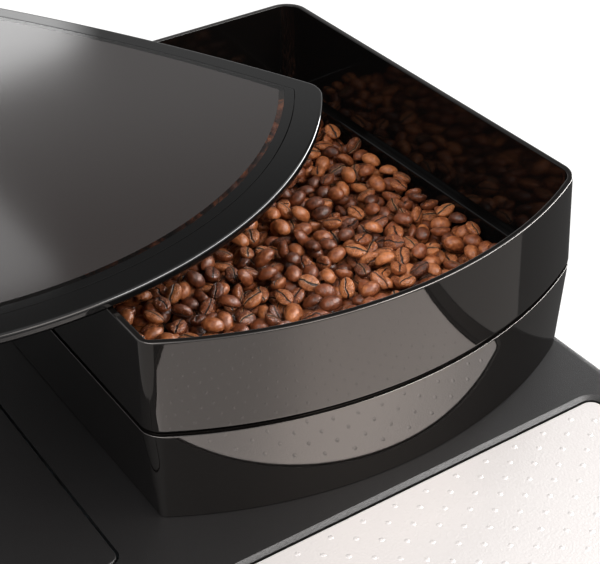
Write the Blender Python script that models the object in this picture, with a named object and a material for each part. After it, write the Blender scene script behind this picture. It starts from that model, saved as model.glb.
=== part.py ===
# Bean to cup coffee machine: raised bean hopper with a curved front, swung-aside lid, cup plate,
# side-drawn water tank, conical burr grinder with gears, screw-driven brew piston, drip tray and grounds bin.
# Metres, +Z up, the front faces -Y. The origin lies on the table below the middle of the whole outline.

import math

import bmesh
import bpy
from mathutils import Matrix, Vector, noise

mm = 0.001
full_turn = 2 * math.pi
right_angle = math.pi / 2

# Clearances
seat_gap = 0.3 * mm
seam_gap = 1.0 * mm
running_gap = 0.5 * mm
cut_overrun = 5 * mm

# Housing
body_width = 283 * mm
body_depth = 450 * mm
deck_level = 302 * mm
panel_wall = 3 * mm
body_corner = 8 * mm
flange_depth = 14 * mm

# Feet
foot_radius = 13 * mm
foot_height = 7.7 * mm
foot_inset = 30 * mm
foot_taper = 1.5 * mm

# Base pan
pan_floor = 3 * mm
pan_height = 40 * mm

# Drip tray, its grate and float
tray_side_margin = 45.5 * mm
tray_depth = 164 * mm
tray_height = 46.7 * mm
tray_wall = 4.5 * mm
tray_floor = 2.5 * mm
grate_thickness = 3 * mm
grate_depth = 107 * mm
grate_ledge = 2 * mm
slot_width = 4 * mm
slot_pitch = 9 * mm
slot_length = 84 * mm
float_radius = 6 * mm
float_height = 44 * mm
float_hole_gap = 0.6 * mm
float_side_margin = 18 * mm
float_front_margin = 22 * mm

# Cup bay, its liner and the spout
liner_wall = 2 * mm
bay_height = 117.5 * mm
bay_depth = 115 * mm
rail_width = 16 * mm
rail_depth = 9 * mm
spout_width = 66 * mm
spout_depth = 82 * mm
spout_height = 90 * mm
spout_clearance = 6 * mm
spout_wall = 3 * mm
spout_corner = 12 * mm
spout_bottom_above_grate = 70 * mm
nozzle_radius = 5 * mm
nozzle_bore = 3 * mm
nozzle_length = 11 * mm
nozzle_spacing = 28 * mm
nozzle_setback = 26 * mm
nozzle_plate = 2.5 * mm
nozzle_plate_inset = 8 * mm

# Grounds bin
bin_side_gap = 8 * mm
bin_depth = 150 * mm
bin_height = 57 * mm
bin_wall = 2 * mm
bin_front_margin = 2.5 * mm
bin_front_wall = 3 * mm
bin_front_rise = 3.5 * mm
bin_notch_width = 40 * mm
bin_notch_depth = 11 * mm

# Front fascia, lens, buttons and knob
lens_side_gap = 24 * mm
lens_height = 30 * mm
lens_drop = 55 * mm
lens_lip = 2 * mm
lens_lip_thickness = 1 * mm
button_radius = 8 * mm
button_travel = 1.5 * mm
button_proud = 2 * mm
button_rim = 1.6 * mm
button_rim_thickness = 1.4 * mm
button_stem_radius = 2.5 * mm
button_stem_length = 2.5 * mm
button_side_margin = 36.5 * mm
button_spacing = 33 * mm
button_names = ("espresso_button", "coffee_button", "long_coffee_button", "power_button")
knob_radius = 17 * mm
knob_depth = 17 * mm
knob_drop = 96 * mm
knob_shaft_radius = 3 * mm
knob_flutes = 24
knob_flute_depth = 0.7 * mm
board_side_margin = 23.5 * mm
board_height = 88 * mm
board_drop = 110 * mm
board_thickness = 1.6 * mm
board_standoff = 8 * mm
boss_radius = 3 * mm
boss_inset = 8 * mm
switch_size = 6 * mm
switch_gap = 0.6 * mm

# Service door in the right side
door_depth = 149 * mm
door_height = 138 * mm
door_bottom = 62 * mm
door_centre_y = 5 * mm
door_pin_radius = 1 * mm
door_pin_length = 3 * mm
finger_recess_radius = 10 * mm
finger_recess_depth = 1.6 * mm

# Rear panel, mains inlet and rocker
vent_count = 9
vent_width = 60 * mm
vent_height = 4 * mm
vent_pitch = 10 * mm
vent_drop = 112 * mm
inlet_width = 28 * mm
inlet_height = 22 * mm
inlet_depth = 20 * mm
inlet_wall = 2 * mm
inlet_flange = 3 * mm
inlet_flange_thickness = 1.5 * mm
inlet_floor = 4 * mm
inlet_side_margin = 41.5 * mm
inlet_level = 80 * mm
contact_width = 2 * mm
contact_height = 4 * mm
contact_length = 9 * mm
contact_spacing = 7 * mm
contact_rise = 3 * mm
rocker_width = 18 * mm
rocker_height = 12 * mm
rocker_depth = 8 * mm
rocker_spacing = 38 * mm
rocker_tilt = math.radians(6)

# Top deck and cup plate
deck_skirt = 16 * mm
deck_edge = 4.5 * mm
plate_side_border = 16.5 * mm
plate_front_border = 22 * mm
plate_gap_to_hopper = 38.1 * mm
plate_corner = 5 * mm
plate_thickness = 1.2 * mm
plate_sink = 0.6 * mm
pocket_rim = 2.3 * mm
pocket_rim_drop = 0.9 * mm
deck_hole_inset = 13 * mm

# Water tank, lid, cradle, port and valve
tank_side_room = 15 * mm
tank_rear_margin = 14.5 * mm
tank_front_y = -9.5 * mm
tank_bottom = 52 * mm
tank_wall = 2.5 * mm
tank_corner = 4 * mm
tank_lid_thickness = 3 * mm
ear_length = 3 * mm
ear_width = 4.5 * mm
ear_pin_radius = 0.9 * mm
cradle_wall = 2.5 * mm
port_radius = 8 * mm
port_y = 20 * mm
valve_radius = 4 * mm
valve_head_radius = 6.4 * mm
valve_head_thickness = 2.5 * mm

# Chassis
chassis_wall = 3 * mm
chassis_left_rise = 11 * mm
chassis_side_margin = 5.5 * mm
chassis_rear_margin = 25 * mm
chassis_wall_front = 58 * mm
chassis_wall_rear = 49 * mm
shelf_clearance = 1 * mm
grinder_room = 94 * mm
brew_shelf_rise = 7 * mm
post_size = 6 * mm

# Hopper
hopper_left_margin = 83 * mm
hopper_depth = 209.5 * mm
hopper_rear_gap = 15.5 * mm
hopper_sagitta = 28.5 * mm
hopper_height = 83 * mm
hopper_front_corner = 7 * mm
hopper_rear_corner = 11 * mm
groove_bottom = 42 * mm
groove_width = 2 * mm
hopper_flare = 1.6 * mm
hopper_taper = 1.6 * mm
rim_wall = 2.6 * mm
skirt_face = 0.7 * mm
skirt_wall = 1.5 * mm
base_wall = 2.4 * mm
base_inner_face = 0.4 * mm
base_lip_width = 3 * mm
base_lip_thickness = 4 * mm
ledge_level = 37 * mm
ledge_thickness = 1.7 * mm
ledge_inner = 5.4 * mm
funnel_wall = 1.6 * mm
well_depth = 20 * mm
throat_radius = 14.5 * mm
throat_wall = 2 * mm
throat_drop = 29 * mm
throat_length = 21 * mm

# Coffee beans
bean_fill_drop = 8 * mm
bean_crown = 1.5 * mm
bean_lump = 2.2 * mm
bean_lump_pitch = 9.5 * mm
bean_rings = 6
bean_seed_offset = 31.7

# Lid, with the swing that the photograph shows
lid_thickness = 4.5 * mm
lid_side_bulge = 5.0 * mm
lid_corner = 6.5 * mm
lid_edge = 0.8 * mm
lid_lower_inset = 1.2 * mm
lid_front_band = 12.2 * mm
lid_side_band = 8.5 * mm
lid_left_overhang = 30 * mm
lid_rebate = 2 * mm
lid_window_thickness = 2.3 * mm
lid_pivot_left = 61.5 * mm
lid_pivot_front = 36.7 * mm
lid_swing = math.radians(27.25)

# Grinder
gear_module = 1.5 * mm
gear_width = 7 * mm
gear_backlash = 0.3 * mm
pressure_angle = math.radians(25)
drive_teeth = 36
pinion_teeth = 12
ring_teeth = 52
grinder_setback = 105 * mm
burr_shaft_radius = 4 * mm
burr_teeth = 20
burr_base_radius = 27 * mm
burr_tip_radius = 14 * mm
burr_height = 15 * mm
burr_tooth_depth = 2 * mm
burr_twist = math.radians(20)
burr_spacing = 1.6 * mm
grinder_radius = 38 * mm
grinder_wall = 2.5 * mm
grinder_height = 32 * mm
grinder_floor = 3 * mm
grinder_post_radius = 3.5 * mm
grinder_post_ring = 34 * mm
grinder_post_angles = (math.radians(0), math.radians(110), math.radians(250))
motor_radius = 20 * mm
motor_height = 58 * mm
motor_shaft_radius = 2.5 * mm
adjuster_shaft_radius = 3 * mm
adjuster_knob_radius = 7 * mm
adjuster_knob_height = 18 * mm
adjuster_knob_rise = 24 * mm
adjuster_bearing = math.radians(138)

# Brew unit
brew_side_margin = 39.5 * mm
brew_y = -5 * mm
brew_frame_width = 62 * mm
brew_frame_depth = 88 * mm
brew_frame_height = 128 * mm
brew_frame_wall = 6 * mm
brew_side_gap = 6 * mm
chamber_radius = 24 * mm
chamber_bore = 20.4 * mm
chamber_floor = 4 * mm
chamber_margin = 5 * mm
piston_radius = 20 * mm
piston_height = 23 * mm
piston_lift = 2 * mm
piston_stroke = 45 * mm
piston_floor = 2.5 * mm
nut_radius = 8 * mm
nut_height = 35 * mm
screw_radius = 4 * mm
screw_gap = 0.3 * mm
brew_motor_radius = 16 * mm
brew_motor_height = 40 * mm

# Water circuit
boiler_side_margin = 46.5 * mm
boiler_rear_shift = 3 * mm
boiler_radius = 28 * mm
boiler_height = 76 * mm
nipple_radius = 4 * mm
nipple_length = 6 * mm
nipple_offset = 10 * mm
pump_radius = 16 * mm
pump_length = 80 * mm
pump_wall_gap = 55 * mm
pump_rear_margin = 60 * mm
pump_foot_width = 18 * mm
hose_radius = 3 * mm
hose_bend = 20 * mm

# Places worked out from the sizes above
half_width = body_width / 2
half_depth = body_depth / 2
base_bottom = foot_height + seat_gap
pan_floor_top = base_bottom + pan_floor
pan_top = base_bottom + pan_height
tray_bottom = pan_floor_top + seat_gap
tray_top = tray_bottom + tray_height
tray_width = body_width - 2 * tray_side_margin
tray_half = tray_width / 2
tray_back = tray_depth - half_depth
opening_half = tray_half + running_gap
grate_bottom = tray_top - grate_thickness
liner_bottom = tray_top + running_gap
bay_top = liner_bottom + bay_height
bay_back = bay_depth - half_depth
deck_bottom = deck_level - deck_skirt
lens_level = deck_level - lens_drop
knob_level = deck_level - knob_drop
board_bottom = deck_level - board_drop
vent_level = deck_level - vent_drop
upper_shelf_top = deck_level - grinder_room
throat_top = deck_level - throat_drop
throat_bottom = throat_top - throat_length
adjuster_knob_level = deck_level + adjuster_knob_rise
panel_bottom = pan_top + seat_gap
panel_top = deck_bottom - seat_gap
side_end = half_depth - flange_depth - seat_gap
shelf_bottom = tray_top + shelf_clearance
shelf_top = shelf_bottom + chassis_wall
bin_bottom = shelf_top + seat_gap
chassis_half_width = half_width - brew_side_margin - brew_frame_width / 2 - brew_side_gap
bin_width = 2 * (chassis_half_width - bin_side_gap)
pump_x = pump_wall_gap - chassis_half_width
bin_front_half = bin_width / 2 + bin_front_margin
bin_front_top = bin_bottom + bin_height + bin_front_rise
spout_bottom = tray_top + spout_bottom_above_grate
spout_back = bay_back - liner_wall - spout_clearance
spout_front = spout_back - spout_depth
hopper_width = body_width - hopper_left_margin
hopper_right = half_width
hopper_left = hopper_right - hopper_width
hopper_rear = half_depth - hopper_rear_gap
hopper_front = hopper_rear - hopper_depth
hopper_centre_x = (hopper_left + hopper_right) / 2
rim_level = deck_level + hopper_height
ledge_top = deck_level + ledge_level
tank_width = half_width - chassis_half_width - tank_side_room
tank_right = tank_width - half_width
tank_rear = half_depth - tank_rear_margin
tank_top = deck_level - tank_lid_thickness - seat_gap
pump_level = shelf_top + seat_gap + pump_radius + chassis_wall
port_level = pump_level
pump_y = half_depth - pump_rear_margin
boiler_y = (chassis_wall_rear + pump_y) / 2 + boiler_rear_shift
upper_shelf_bottom = upper_shelf_top - chassis_wall
brew_shelf_top = shelf_top + brew_shelf_rise
grinder_x = hopper_centre_x
chassis_left = chassis_half_width + chassis_left_rise
chassis_right = half_width - chassis_side_margin
chassis_rear = half_depth - chassis_rear_margin
brew_x = half_width - brew_side_margin
boiler_x = half_width - boiler_side_margin
inlet_x = half_width - inlet_side_margin
rocker_x = inlet_x - rocker_spacing
board_width = body_width - 2 * board_side_margin
float_x = tray_half - float_side_margin
float_y = float_front_margin - half_depth
slot_reach = float_x - float_radius - float_hole_gap - slot_pitch
slot_count = 2 * int(slot_reach / slot_pitch) + 1
outer_button = half_width - button_side_margin
lens_width = 2 * (outer_button - button_spacing - button_radius - lens_side_gap)
button_spots = (-outer_button, button_spacing - outer_button, outer_button - button_spacing, outer_button)
grinder_y = grinder_setback
drive_radius = gear_module * drive_teeth / 2
pinion_radius = gear_module * pinion_teeth / 2
ring_radius = gear_module * ring_teeth / 2
motor_x = grinder_x - drive_radius - pinion_radius
adjuster_x = grinder_x + (ring_radius + pinion_radius) * math.cos(adjuster_bearing)
adjuster_y = grinder_y + (ring_radius + pinion_radius) * math.sin(adjuster_bearing)
gear_bottom = upper_shelf_top + seat_gap + running_gap
grinder_bottom = gear_bottom + gear_width + 2 * running_gap
grinder_top = grinder_bottom + grinder_height
ring_bottom = grinder_top + seat_gap
lid_bottom = rim_level + seat_gap
lid_top = lid_bottom + lid_thickness
lid_pivot_x = hopper_left - lid_pivot_left
lid_pivot_y = hopper_front - lid_pivot_front

# Detail counts
arc_steps = 14
fillet_steps = 4
side_steps = 5
burr_levels = 3
round_steps = 20
small_round_steps = 12
corner_steps = 4

# Shares chosen by hand
addendum_share = 0.85
dedendum_share = 1.1
knob_taper_share = 0.94
float_dome_share = 0.6
motor_edge_share = 0.12
ease_share = 0.45
lip_flare_share = 0.4
burr_foot_share = 0.2
burr_tooth_shares = (0, 0.35, 0.6)
brew_nipple_share = 0.7
knob_flute_shares = (0.25, 0.75)

materials_made = {}


def clear_scene():
    for old_object in list(bpy.data.objects):
        bpy.data.objects.remove(old_object, do_unlink=True)


def material(name, colour, roughness, metallic=0.0):
    if name not in materials_made:
        made = bpy.data.materials.new(name)
        made.use_nodes = True
        shader = made.node_tree.nodes["Principled BSDF"]
        shader.inputs["Base Color"].default_value = (*colour, 1.0)
        shader.inputs["Roughness"].default_value = roughness
        shader.inputs["Metallic"].default_value = metallic
        made.diffuse_color = (*colour, 1.0)
        materials_made[name] = made
    return materials_made[name]


def gloss_black():
    return material("gloss_black", (0.012, 0.011, 0.011), 0.08)


def matte_black():
    return material("matte_black", (0.022, 0.021, 0.022), 0.55)


def dark_plastic():
    return material("dark_plastic", (0.05, 0.05, 0.055), 0.5)


def steel():
    return material("steel", (0.80, 0.79, 0.78), 0.25, 1.0)


def grey_metal():
    return material("grey_metal", (0.45, 0.45, 0.47), 0.35, 1.0)


def clear_tint():
    return material("clear_tint", (0.25, 0.30, 0.33), 0.1)


def smoked_window():
    return material("smoked_window", (0.06, 0.06, 0.06), 0.12)


def rubber():
    return material("rubber", (0.03, 0.03, 0.03), 0.8)


def red_plastic():
    return material("red_plastic", (0.55, 0.03, 0.03), 0.4)


def white_nylon():
    return material("white_nylon", (0.75, 0.74, 0.70), 0.45)


def roasted_bean():
    return material("roasted_bean", (0.16, 0.06, 0.025), 0.4)


def circuit_green():
    return material("circuit_green", (0.03, 0.18, 0.08), 0.5)


def hose_rubber():
    return material("hose_rubber", (0.5, 0.5, 0.5), 0.5)


def finish(name, mesh_data, finish_material, smooth_angle=math.radians(35)):
    mesh = bpy.data.meshes.new(name)
    mesh_data.to_mesh(mesh)
    mesh_data.free()
    mesh.shade_smooth()
    mesh.set_sharp_from_angle(angle=smooth_angle)
    if finish_material is not None:
        mesh.materials.append(finish_material)
    made = bpy.data.objects.new(name, mesh)
    bpy.context.collection.objects.link(made)
    return made


def add_ring(mesh_data, points, height):
    return [mesh_data.verts.new((x, y, height)) for x, y in points]


def bridge(mesh_data, lower, upper):
    count = len(lower)
    for index in range(count):
        following = (index + 1) % count
        mesh_data.faces.new((lower[index], lower[following], upper[following], upper[index]))


def loft(rings, closed_loop=False):
    """Solid through outlines of equal point count, capped at both ends or closed into a ring."""
    mesh_data = bmesh.new()
    made = [add_ring(mesh_data, points, height) for points, height in rings]
    for lower, upper in zip(made, made[1:]):
        bridge(mesh_data, lower, upper)
    if closed_loop:
        bridge(mesh_data, made[-1], made[0])
    else:
        mesh_data.faces.new(list(reversed(made[0])))
        mesh_data.faces.new(made[-1])
    return mesh_data


def box(x_low, x_high, y_low, y_high, z_low, z_high):
    corners = [(x_low, y_low), (x_high, y_low), (x_high, y_high), (x_low, y_high)]
    return loft([(corners, z_low), (corners, z_high)])


def circle(centre_x, centre_y, radius, steps=round_steps):
    turns = [full_turn * index / steps for index in range(steps)]
    return [(centre_x + radius * math.cos(turn), centre_y + radius * math.sin(turn)) for turn in turns]


def post(centre_x, centre_y, radius, z_low, z_high, steps=round_steps):
    outline = circle(centre_x, centre_y, radius, steps)
    return loft([(outline, z_low), (outline, z_high)])


def turned(centre_x, centre_y, profile, steps=round_steps, closed_loop=False):
    """Turned solid from (radius, height) steps, listed up the outside and down any bore."""
    rings = [(circle(centre_x, centre_y, radius, steps), height) for radius, height in profile]
    return loft(rings, closed_loop)


def lay_along_y(mesh_data, centre_x, centre_z):
    """Turns a solid modelled around the vertical so that its upward end points to the rear."""
    mesh_data.transform(Matrix.Translation((centre_x, 0, centre_z)) @ Matrix.Rotation(-right_angle, 4, "X"))
    return mesh_data


def lay_along_x(mesh_data, centre_y, centre_z):
    """Turns a solid modelled around the vertical so that its upward end points to the right."""
    mesh_data.transform(Matrix.Translation((0, centre_y, centre_z)) @ Matrix.Rotation(right_angle, 4, "Y"))
    return mesh_data


def joined(*pieces):
    """One mesh of several solids that don't touch, for a cutter."""
    whole = bmesh.new()
    for piece in pieces:
        carrier = bpy.data.meshes.new("carrier")
        piece.to_mesh(carrier)
        piece.free()
        whole.from_mesh(carrier)
        bpy.data.meshes.remove(carrier)
    return whole


def helper(target, mesh_data, operation):
    tool = finish(target.name + "." + operation.lower(), mesh_data, None)
    tool.hide_render = True
    tool.display_type = "WIRE"
    tool.parent = target
    change = target.modifiers.new(operation.title(), "BOOLEAN")
    change.operation = operation
    change.solver = "EXACT"
    change.object = tool


def cut(target, mesh_data):
    helper(target, mesh_data, "DIFFERENCE")


def fuse(target, mesh_data):
    helper(target, mesh_data, "UNION")


def rounded_rectangle(x_low, x_high, y_low, y_high, radius, steps=corner_steps):
    centres = [(x_high - radius, y_low + radius), (x_high - radius, y_high - radius),
               (x_low + radius, y_high - radius), (x_low + radius, y_low + radius)]
    points = []
    for quarter, (centre_x, centre_y) in enumerate(centres):
        for step in range(steps + 1):
            turn = right_angle * (quarter - 1 + step / steps)
            points.append((centre_x + radius * math.cos(turn), centre_y + radius * math.sin(turn)))
    return points


def inset_rectangle(bounds, inset, radius, steps=corner_steps):
    x_low, x_high, y_low, y_high = bounds
    tight_radius = max(radius - inset, radius / 8)
    return rounded_rectangle(x_low + inset, x_high - inset, y_low + inset, y_high - inset, tight_radius, steps)


def tub(bounds, radius, wall, floor, z_low, z_high):
    """Open-topped container with rounded upright corners."""
    outer = inset_rectangle(bounds, 0, radius)
    inner = inset_rectangle(bounds, wall, radius)
    return loft([(outer, z_low), (outer, z_high), (inner, z_high), (inner, z_low + floor)])


def machine_root():
    root = bpy.data.objects.new("machine", None)
    bpy.context.collection.objects.link(root)
    return root


def place(piece, parent, origin=(0, 0, 0)):
    """Parents a piece modelled in machine places, with its own origin at the given point."""
    shift = Vector(origin)
    parent_place = Vector(parent.get("own_place", (0, 0, 0)))
    for moved in [piece, *piece.children]:
        moved.data.transform(Matrix.Translation(-shift))
    piece.parent = parent
    piece.location = shift - parent_place
    piece["own_place"] = tuple(shift)


# Outlines of the hopper and its lid: a bowed front, straight or bowed sides, a straight rear


def bowed_edge(start, end, sagitta, steps):
    """Points from start to end along a shallow arc that bows to the right of the way it runs."""
    start_point = Vector(start)
    end_point = Vector(end)
    chord = end_point - start_point
    if sagitta == 0:
        return [start_point + chord * step / steps for step in range(steps + 1)]
    length = chord.length
    along = chord / length
    outward = Vector((along.y, -along.x))
    radius = (length * length / 4 + sagitta * sagitta) / (2 * sagitta)
    half_angle = math.asin(length / 2 / radius)
    centre = (start_point + end_point) / 2 - outward * (radius - sagitta)
    points = []
    for step in range(steps + 1):
        turn = half_angle * (2 * step / steps - 1)
        points.append(centre + radius * (math.sin(turn) * along + math.cos(turn) * outward))
    return points


def pull_in(points, near_start, near_end):
    """Shortens a line of points by a distance along it at each end, keeping its count."""
    lengths = [0.0]
    for before, after in zip(points, points[1:]):
        lengths.append(lengths[-1] + (after - before).length)
    kept = []
    count = len(points) - 1
    for step in range(count + 1):
        wanted = near_start + (lengths[-1] - near_start - near_end) * step / count
        index = max(i for i in range(count) if lengths[i] <= wanted + lengths[-1] * 1e-9)
        share = (wanted - lengths[index]) / (lengths[index + 1] - lengths[index])
        kept.append(points[index].lerp(points[index + 1], share))
    return kept


def corner_curve(before, corner, after, steps):
    points = []
    for step in range(1, steps):
        share = step / steps
        points.append(before * (1 - share) ** 2 + corner * 2 * share * (1 - share) + after * share ** 2)
    return points


def bowed_outline(side, front, side_bulge, front_corner, rear_corner, left_reach):
    """The hopper's plan outline moved in by side at the sides and rear and by front at the bow."""
    radius = (hopper_width ** 2 / 4 + hopper_sagitta ** 2) / (2 * hopper_sagitta)
    centre_y = hopper_front + radius - hopper_sagitta
    tight_radius = radius - front
    x_low = hopper_left + side - left_reach
    x_high = hopper_right - side
    y_left = centre_y - math.sqrt(tight_radius ** 2 - (hopper_centre_x - x_low) ** 2)
    y_right = centre_y - math.sqrt(tight_radius ** 2 - (x_high - hopper_centre_x) ** 2)
    y_high = hopper_rear - side
    half_chord = math.hypot(x_high - x_low, y_right - y_left) / 2
    sagitta = tight_radius - math.sqrt(tight_radius ** 2 - half_chord ** 2)
    places = [(x_low, y_left), (x_high, y_right), (x_high, y_high), (x_low, y_high)]
    corners = [Vector(place) for place in places]
    rounds = [front_corner, front_corner, rear_corner, rear_corner]
    bows = [sagitta, side_bulge, 0, side_bulge]
    counts = [arc_steps, side_steps, 1, side_steps]
    edges = []
    for index in range(4):
        following = (index + 1) % 4
        edge = bowed_edge(corners[index], corners[following], bows[index], counts[index])
        edges.append(pull_in(edge, rounds[index], rounds[following]))
    points = []
    for index in range(4):
        following = (index + 1) % 4
        points += edges[index]
        points += corner_curve(edges[index][-1], corners[following], edges[following][0], fillet_steps)
    return [(point.x, point.y) for point in points]


def hopper_outline(inset):
    smallest = hopper_front_corner / 8
    front_corner = max(hopper_front_corner - inset, smallest)
    rear_corner = max(hopper_rear_corner - inset, smallest)
    return bowed_outline(inset, inset, 0, front_corner, rear_corner, 0)


def lid_outline(side, front):
    corner = max(lid_corner - side, lid_corner / 8)
    return bowed_outline(side, front, lid_side_bulge, corner, corner, lid_left_overhang)


def onto_circle(points, centre_x, centre_y, radius):
    """The same count of points on a circle, each in its own direction from the centre."""
    directions = [math.atan2(y - centre_y, x - centre_x) for x, y in points]
    return [(centre_x + radius * math.cos(turn), centre_y + radius * math.sin(turn)) for turn in directions]


def between(points_a, points_b, share):
    pairs = zip(points_a, points_b)
    return [(ax + (bx - ax) * share, ay + (by - ay) * share) for (ax, ay), (bx, by) in pairs]


# Gears with involute flanks


def involute_turn(radius, base_radius):
    pressure = math.acos(min(1.0, base_radius / radius))
    return math.tan(pressure) - pressure


def gear_outline(centre_x, centre_y, teeth, first_turn, flank_steps):
    """Teeth with one of them centred on the first turn; straight flanks between the involute's points."""
    pitch_radius = gear_module * teeth / 2
    base_radius = pitch_radius * math.cos(pressure_angle)
    tip_radius = pitch_radius + gear_module * addendum_share
    root_radius = pitch_radius - gear_module * dedendum_share
    half_tooth = (math.pi / teeth - gear_backlash / pitch_radius) / 2
    start_radius = max(root_radius, base_radius)
    pitch_turn = involute_turn(pitch_radius, base_radius)
    side = []
    for step in range(flank_steps + 1):
        radius = start_radius + (tip_radius - start_radius) * step / flank_steps
        side.append((radius, half_tooth + pitch_turn - involute_turn(radius, base_radius)))
    if root_radius < base_radius:
        side.insert(0, (root_radius, side[0][1]))
    points = []
    for tooth in range(teeth):
        middle = first_turn + full_turn * tooth / teeth
        points += [(radius, middle - turn) for radius, turn in side]
        points += [(radius, middle + turn) for radius, turn in reversed(side)]
    return [(centre_x + radius * math.cos(turn), centre_y + radius * math.sin(turn)) for radius, turn in points]


def facing_gap(bearing, teeth):
    """First tooth's turn for a gear whose tooth gap faces back along the bearing it lies on."""
    return bearing + math.pi + math.pi / teeth


def gear_wheel(name, outline, low, finish_material):
    return finish(name, loft([(outline, low), (outline, low + gear_width)]), finish_material, math.radians(20))


# Housing


def make_feet(root):
    for name, side_x, side_y in (("foot_front_left", -1, -1), ("foot_front_right", 1, -1),
                                 ("foot_rear_left", -1, 1), ("foot_rear_right", 1, 1)):
        x = side_x * (half_width - foot_inset)
        y = side_y * (half_depth - foot_inset)
        low_radius = foot_radius - foot_taper
        profile = [(low_radius, 0), (foot_radius, foot_taper), (foot_radius, foot_height)]
        foot = finish(name, turned(x, y, profile), rubber())
        place(foot, root, (x, y, 0))


def make_base_pan(root):
    bounds = (-half_width, half_width, -half_depth, half_depth)
    shell = tub(bounds, body_corner, panel_wall, pan_floor, base_bottom, pan_top)
    pan = finish("base_pan", shell, matte_black())
    cut(pan, box(-opening_half, opening_half, -half_depth - cut_overrun, -half_depth + body_corner,
                 pan_floor_top, pan_top + cut_overrun))
    place(pan, root)


def make_front_fascia(root):
    outer = inset_rectangle((-half_width, half_width, -half_depth, half_depth), 0, body_corner)
    inner = inset_rectangle((-half_width, half_width, -half_depth, half_depth), panel_wall, body_corner)
    fascia = finish("front_fascia", loft([(outer, panel_bottom), (outer, panel_top),
                                          (inner, panel_top), (inner, panel_bottom)], True), gloss_black())
    keep_line = flange_depth - half_depth
    cut(fascia, box(-body_width, body_width, keep_line, body_depth,
                    panel_bottom - cut_overrun, panel_top + cut_overrun))
    front = -half_depth - cut_overrun
    back = -half_depth + panel_wall + cut_overrun
    cup_opening = box(-opening_half, opening_half, front, back, panel_bottom - cut_overrun, bay_top + running_gap)
    cut(fascia, cup_opening)
    lens_half = lens_width / 2 + seat_gap
    lens_rise = lens_height / 2 + seat_gap
    cutters = [box(-lens_half, lens_half, front, back, lens_level - lens_rise, lens_level + lens_rise)]
    for x in button_spots:
        hole = post(0, 0, button_radius + seat_gap, front, back, small_round_steps)
        cutters.append(lay_along_y(hole, x, lens_level))
    shaft_hole = post(0, 0, knob_shaft_radius + seat_gap, front, back, small_round_steps)
    cutters.append(lay_along_y(shaft_hole, 0, knob_level))
    cut(fascia, joined(*cutters))
    board_front = -half_depth + panel_wall + board_standoff
    for side_x in (-1, 1):
        for level in (board_bottom + boss_inset, board_bottom + board_height - boss_inset):
            x = side_x * (board_width / 2 - boss_inset)
            boss_start = -half_depth + panel_wall / 2
            boss = post(0, 0, boss_radius, boss_start, board_front - seat_gap, small_round_steps)
            fuse(fascia, lay_along_y(boss, x, level))
    place(fascia, root)


def make_display_lens(root):
    lens_half = lens_width / 2
    front = -half_depth + seat_gap
    back = -half_depth + panel_wall + seat_gap
    low = lens_level - lens_height / 2
    high = lens_level + lens_height / 2
    lens = finish("display_lens", box(-lens_half, lens_half, front, back + lens_lip_thickness / 2, low, high),
                  smoked_window())
    fuse(lens, box(-lens_half - lens_lip, lens_half + lens_lip, back, back + lens_lip_thickness,
                   low - lens_lip, high + lens_lip))
    place(lens, root)


def make_buttons(root):
    inside = -half_depth + panel_wall + seat_gap
    for name, x in zip(button_names, button_spots):
        profile = [(button_radius - button_proud / 2, -half_depth - button_proud),
                   (button_radius - seat_gap, -half_depth - button_proud / 2),
                   (button_radius - seat_gap, inside), (button_radius + button_rim, inside),
                   (button_radius + button_rim, inside + button_rim_thickness),
                   (button_stem_radius, inside + button_rim_thickness),
                   (button_stem_radius, inside + button_rim_thickness + button_stem_length)]
        button = finish(name, lay_along_y(turned(0, 0, profile), x, lens_level), steel())
        place(button, root, (x, -half_depth, lens_level))


def make_selector_knob(root):
    back = -half_depth - seat_gap
    front = back - knob_depth
    outline = []
    for flute in range(knob_flutes):
        for share, depth in zip(knob_flute_shares, (0, knob_flute_depth)):
            turn = full_turn * (flute + share) / knob_flutes
            outline.append(((knob_radius - depth) * math.cos(turn), (knob_radius - depth) * math.sin(turn)))
    narrow = [(x * knob_taper_share, y * knob_taper_share) for x, y in outline]
    shaft = circle(0, 0, knob_shaft_radius, len(outline))
    shaft_end = -half_depth + panel_wall + board_standoff - seat_gap
    knob_mesh = loft([(narrow, front), (outline, front + knob_depth / 4), (outline, back), (shaft, back),
                      (shaft, shaft_end)])
    knob = finish("selector_knob", lay_along_y(knob_mesh, 0, knob_level), steel())
    place(knob, root, (0, -half_depth, knob_level))


def make_control_board(root):
    front = -half_depth + panel_wall + board_standoff
    back = front + board_thickness
    half_board = board_width / 2
    board = finish("control_board", box(-half_board, half_board, front, back,
                                        board_bottom, board_bottom + board_height), circuit_green())
    stem_end = -half_depth + panel_wall + seat_gap + button_rim_thickness + button_stem_length
    switch_front = stem_end + button_travel + switch_gap
    half_switch = switch_size / 2
    for x in button_spots:
        fuse(board, box(x - half_switch, x + half_switch, switch_front, front + board_thickness / 2,
                        lens_level - half_switch, lens_level + half_switch))
    place(board, root)


def make_side_panels(root):
    right = finish("right_side_panel", box(half_width - panel_wall, half_width, -side_end, side_end,
                                           panel_bottom, panel_top), matte_black())
    low = door_bottom - running_gap
    high = door_bottom + door_height + running_gap
    front = door_centre_y - door_depth / 2 - running_gap
    rear = door_centre_y + door_depth / 2 + running_gap
    cut(right, box(half_width - panel_wall - cut_overrun, half_width + cut_overrun, front, rear, low, high))
    axis_y = door_centre_y + door_depth / 2 - panel_wall / 2
    reach = running_gap + door_pin_length
    axis_x = half_width - panel_wall / 2
    hole_radius = door_pin_radius + seat_gap
    pin_hole = post(axis_x, axis_y, hole_radius, low - reach, high + reach, small_round_steps)
    cut(right, pin_hole)
    place(right, root)
    left = finish("left_side_panel", box(-half_width, -half_width + panel_wall, -side_end,
                                         tank_front_y - seam_gap, panel_bottom, panel_top), matte_black())
    place(left, root)


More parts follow.
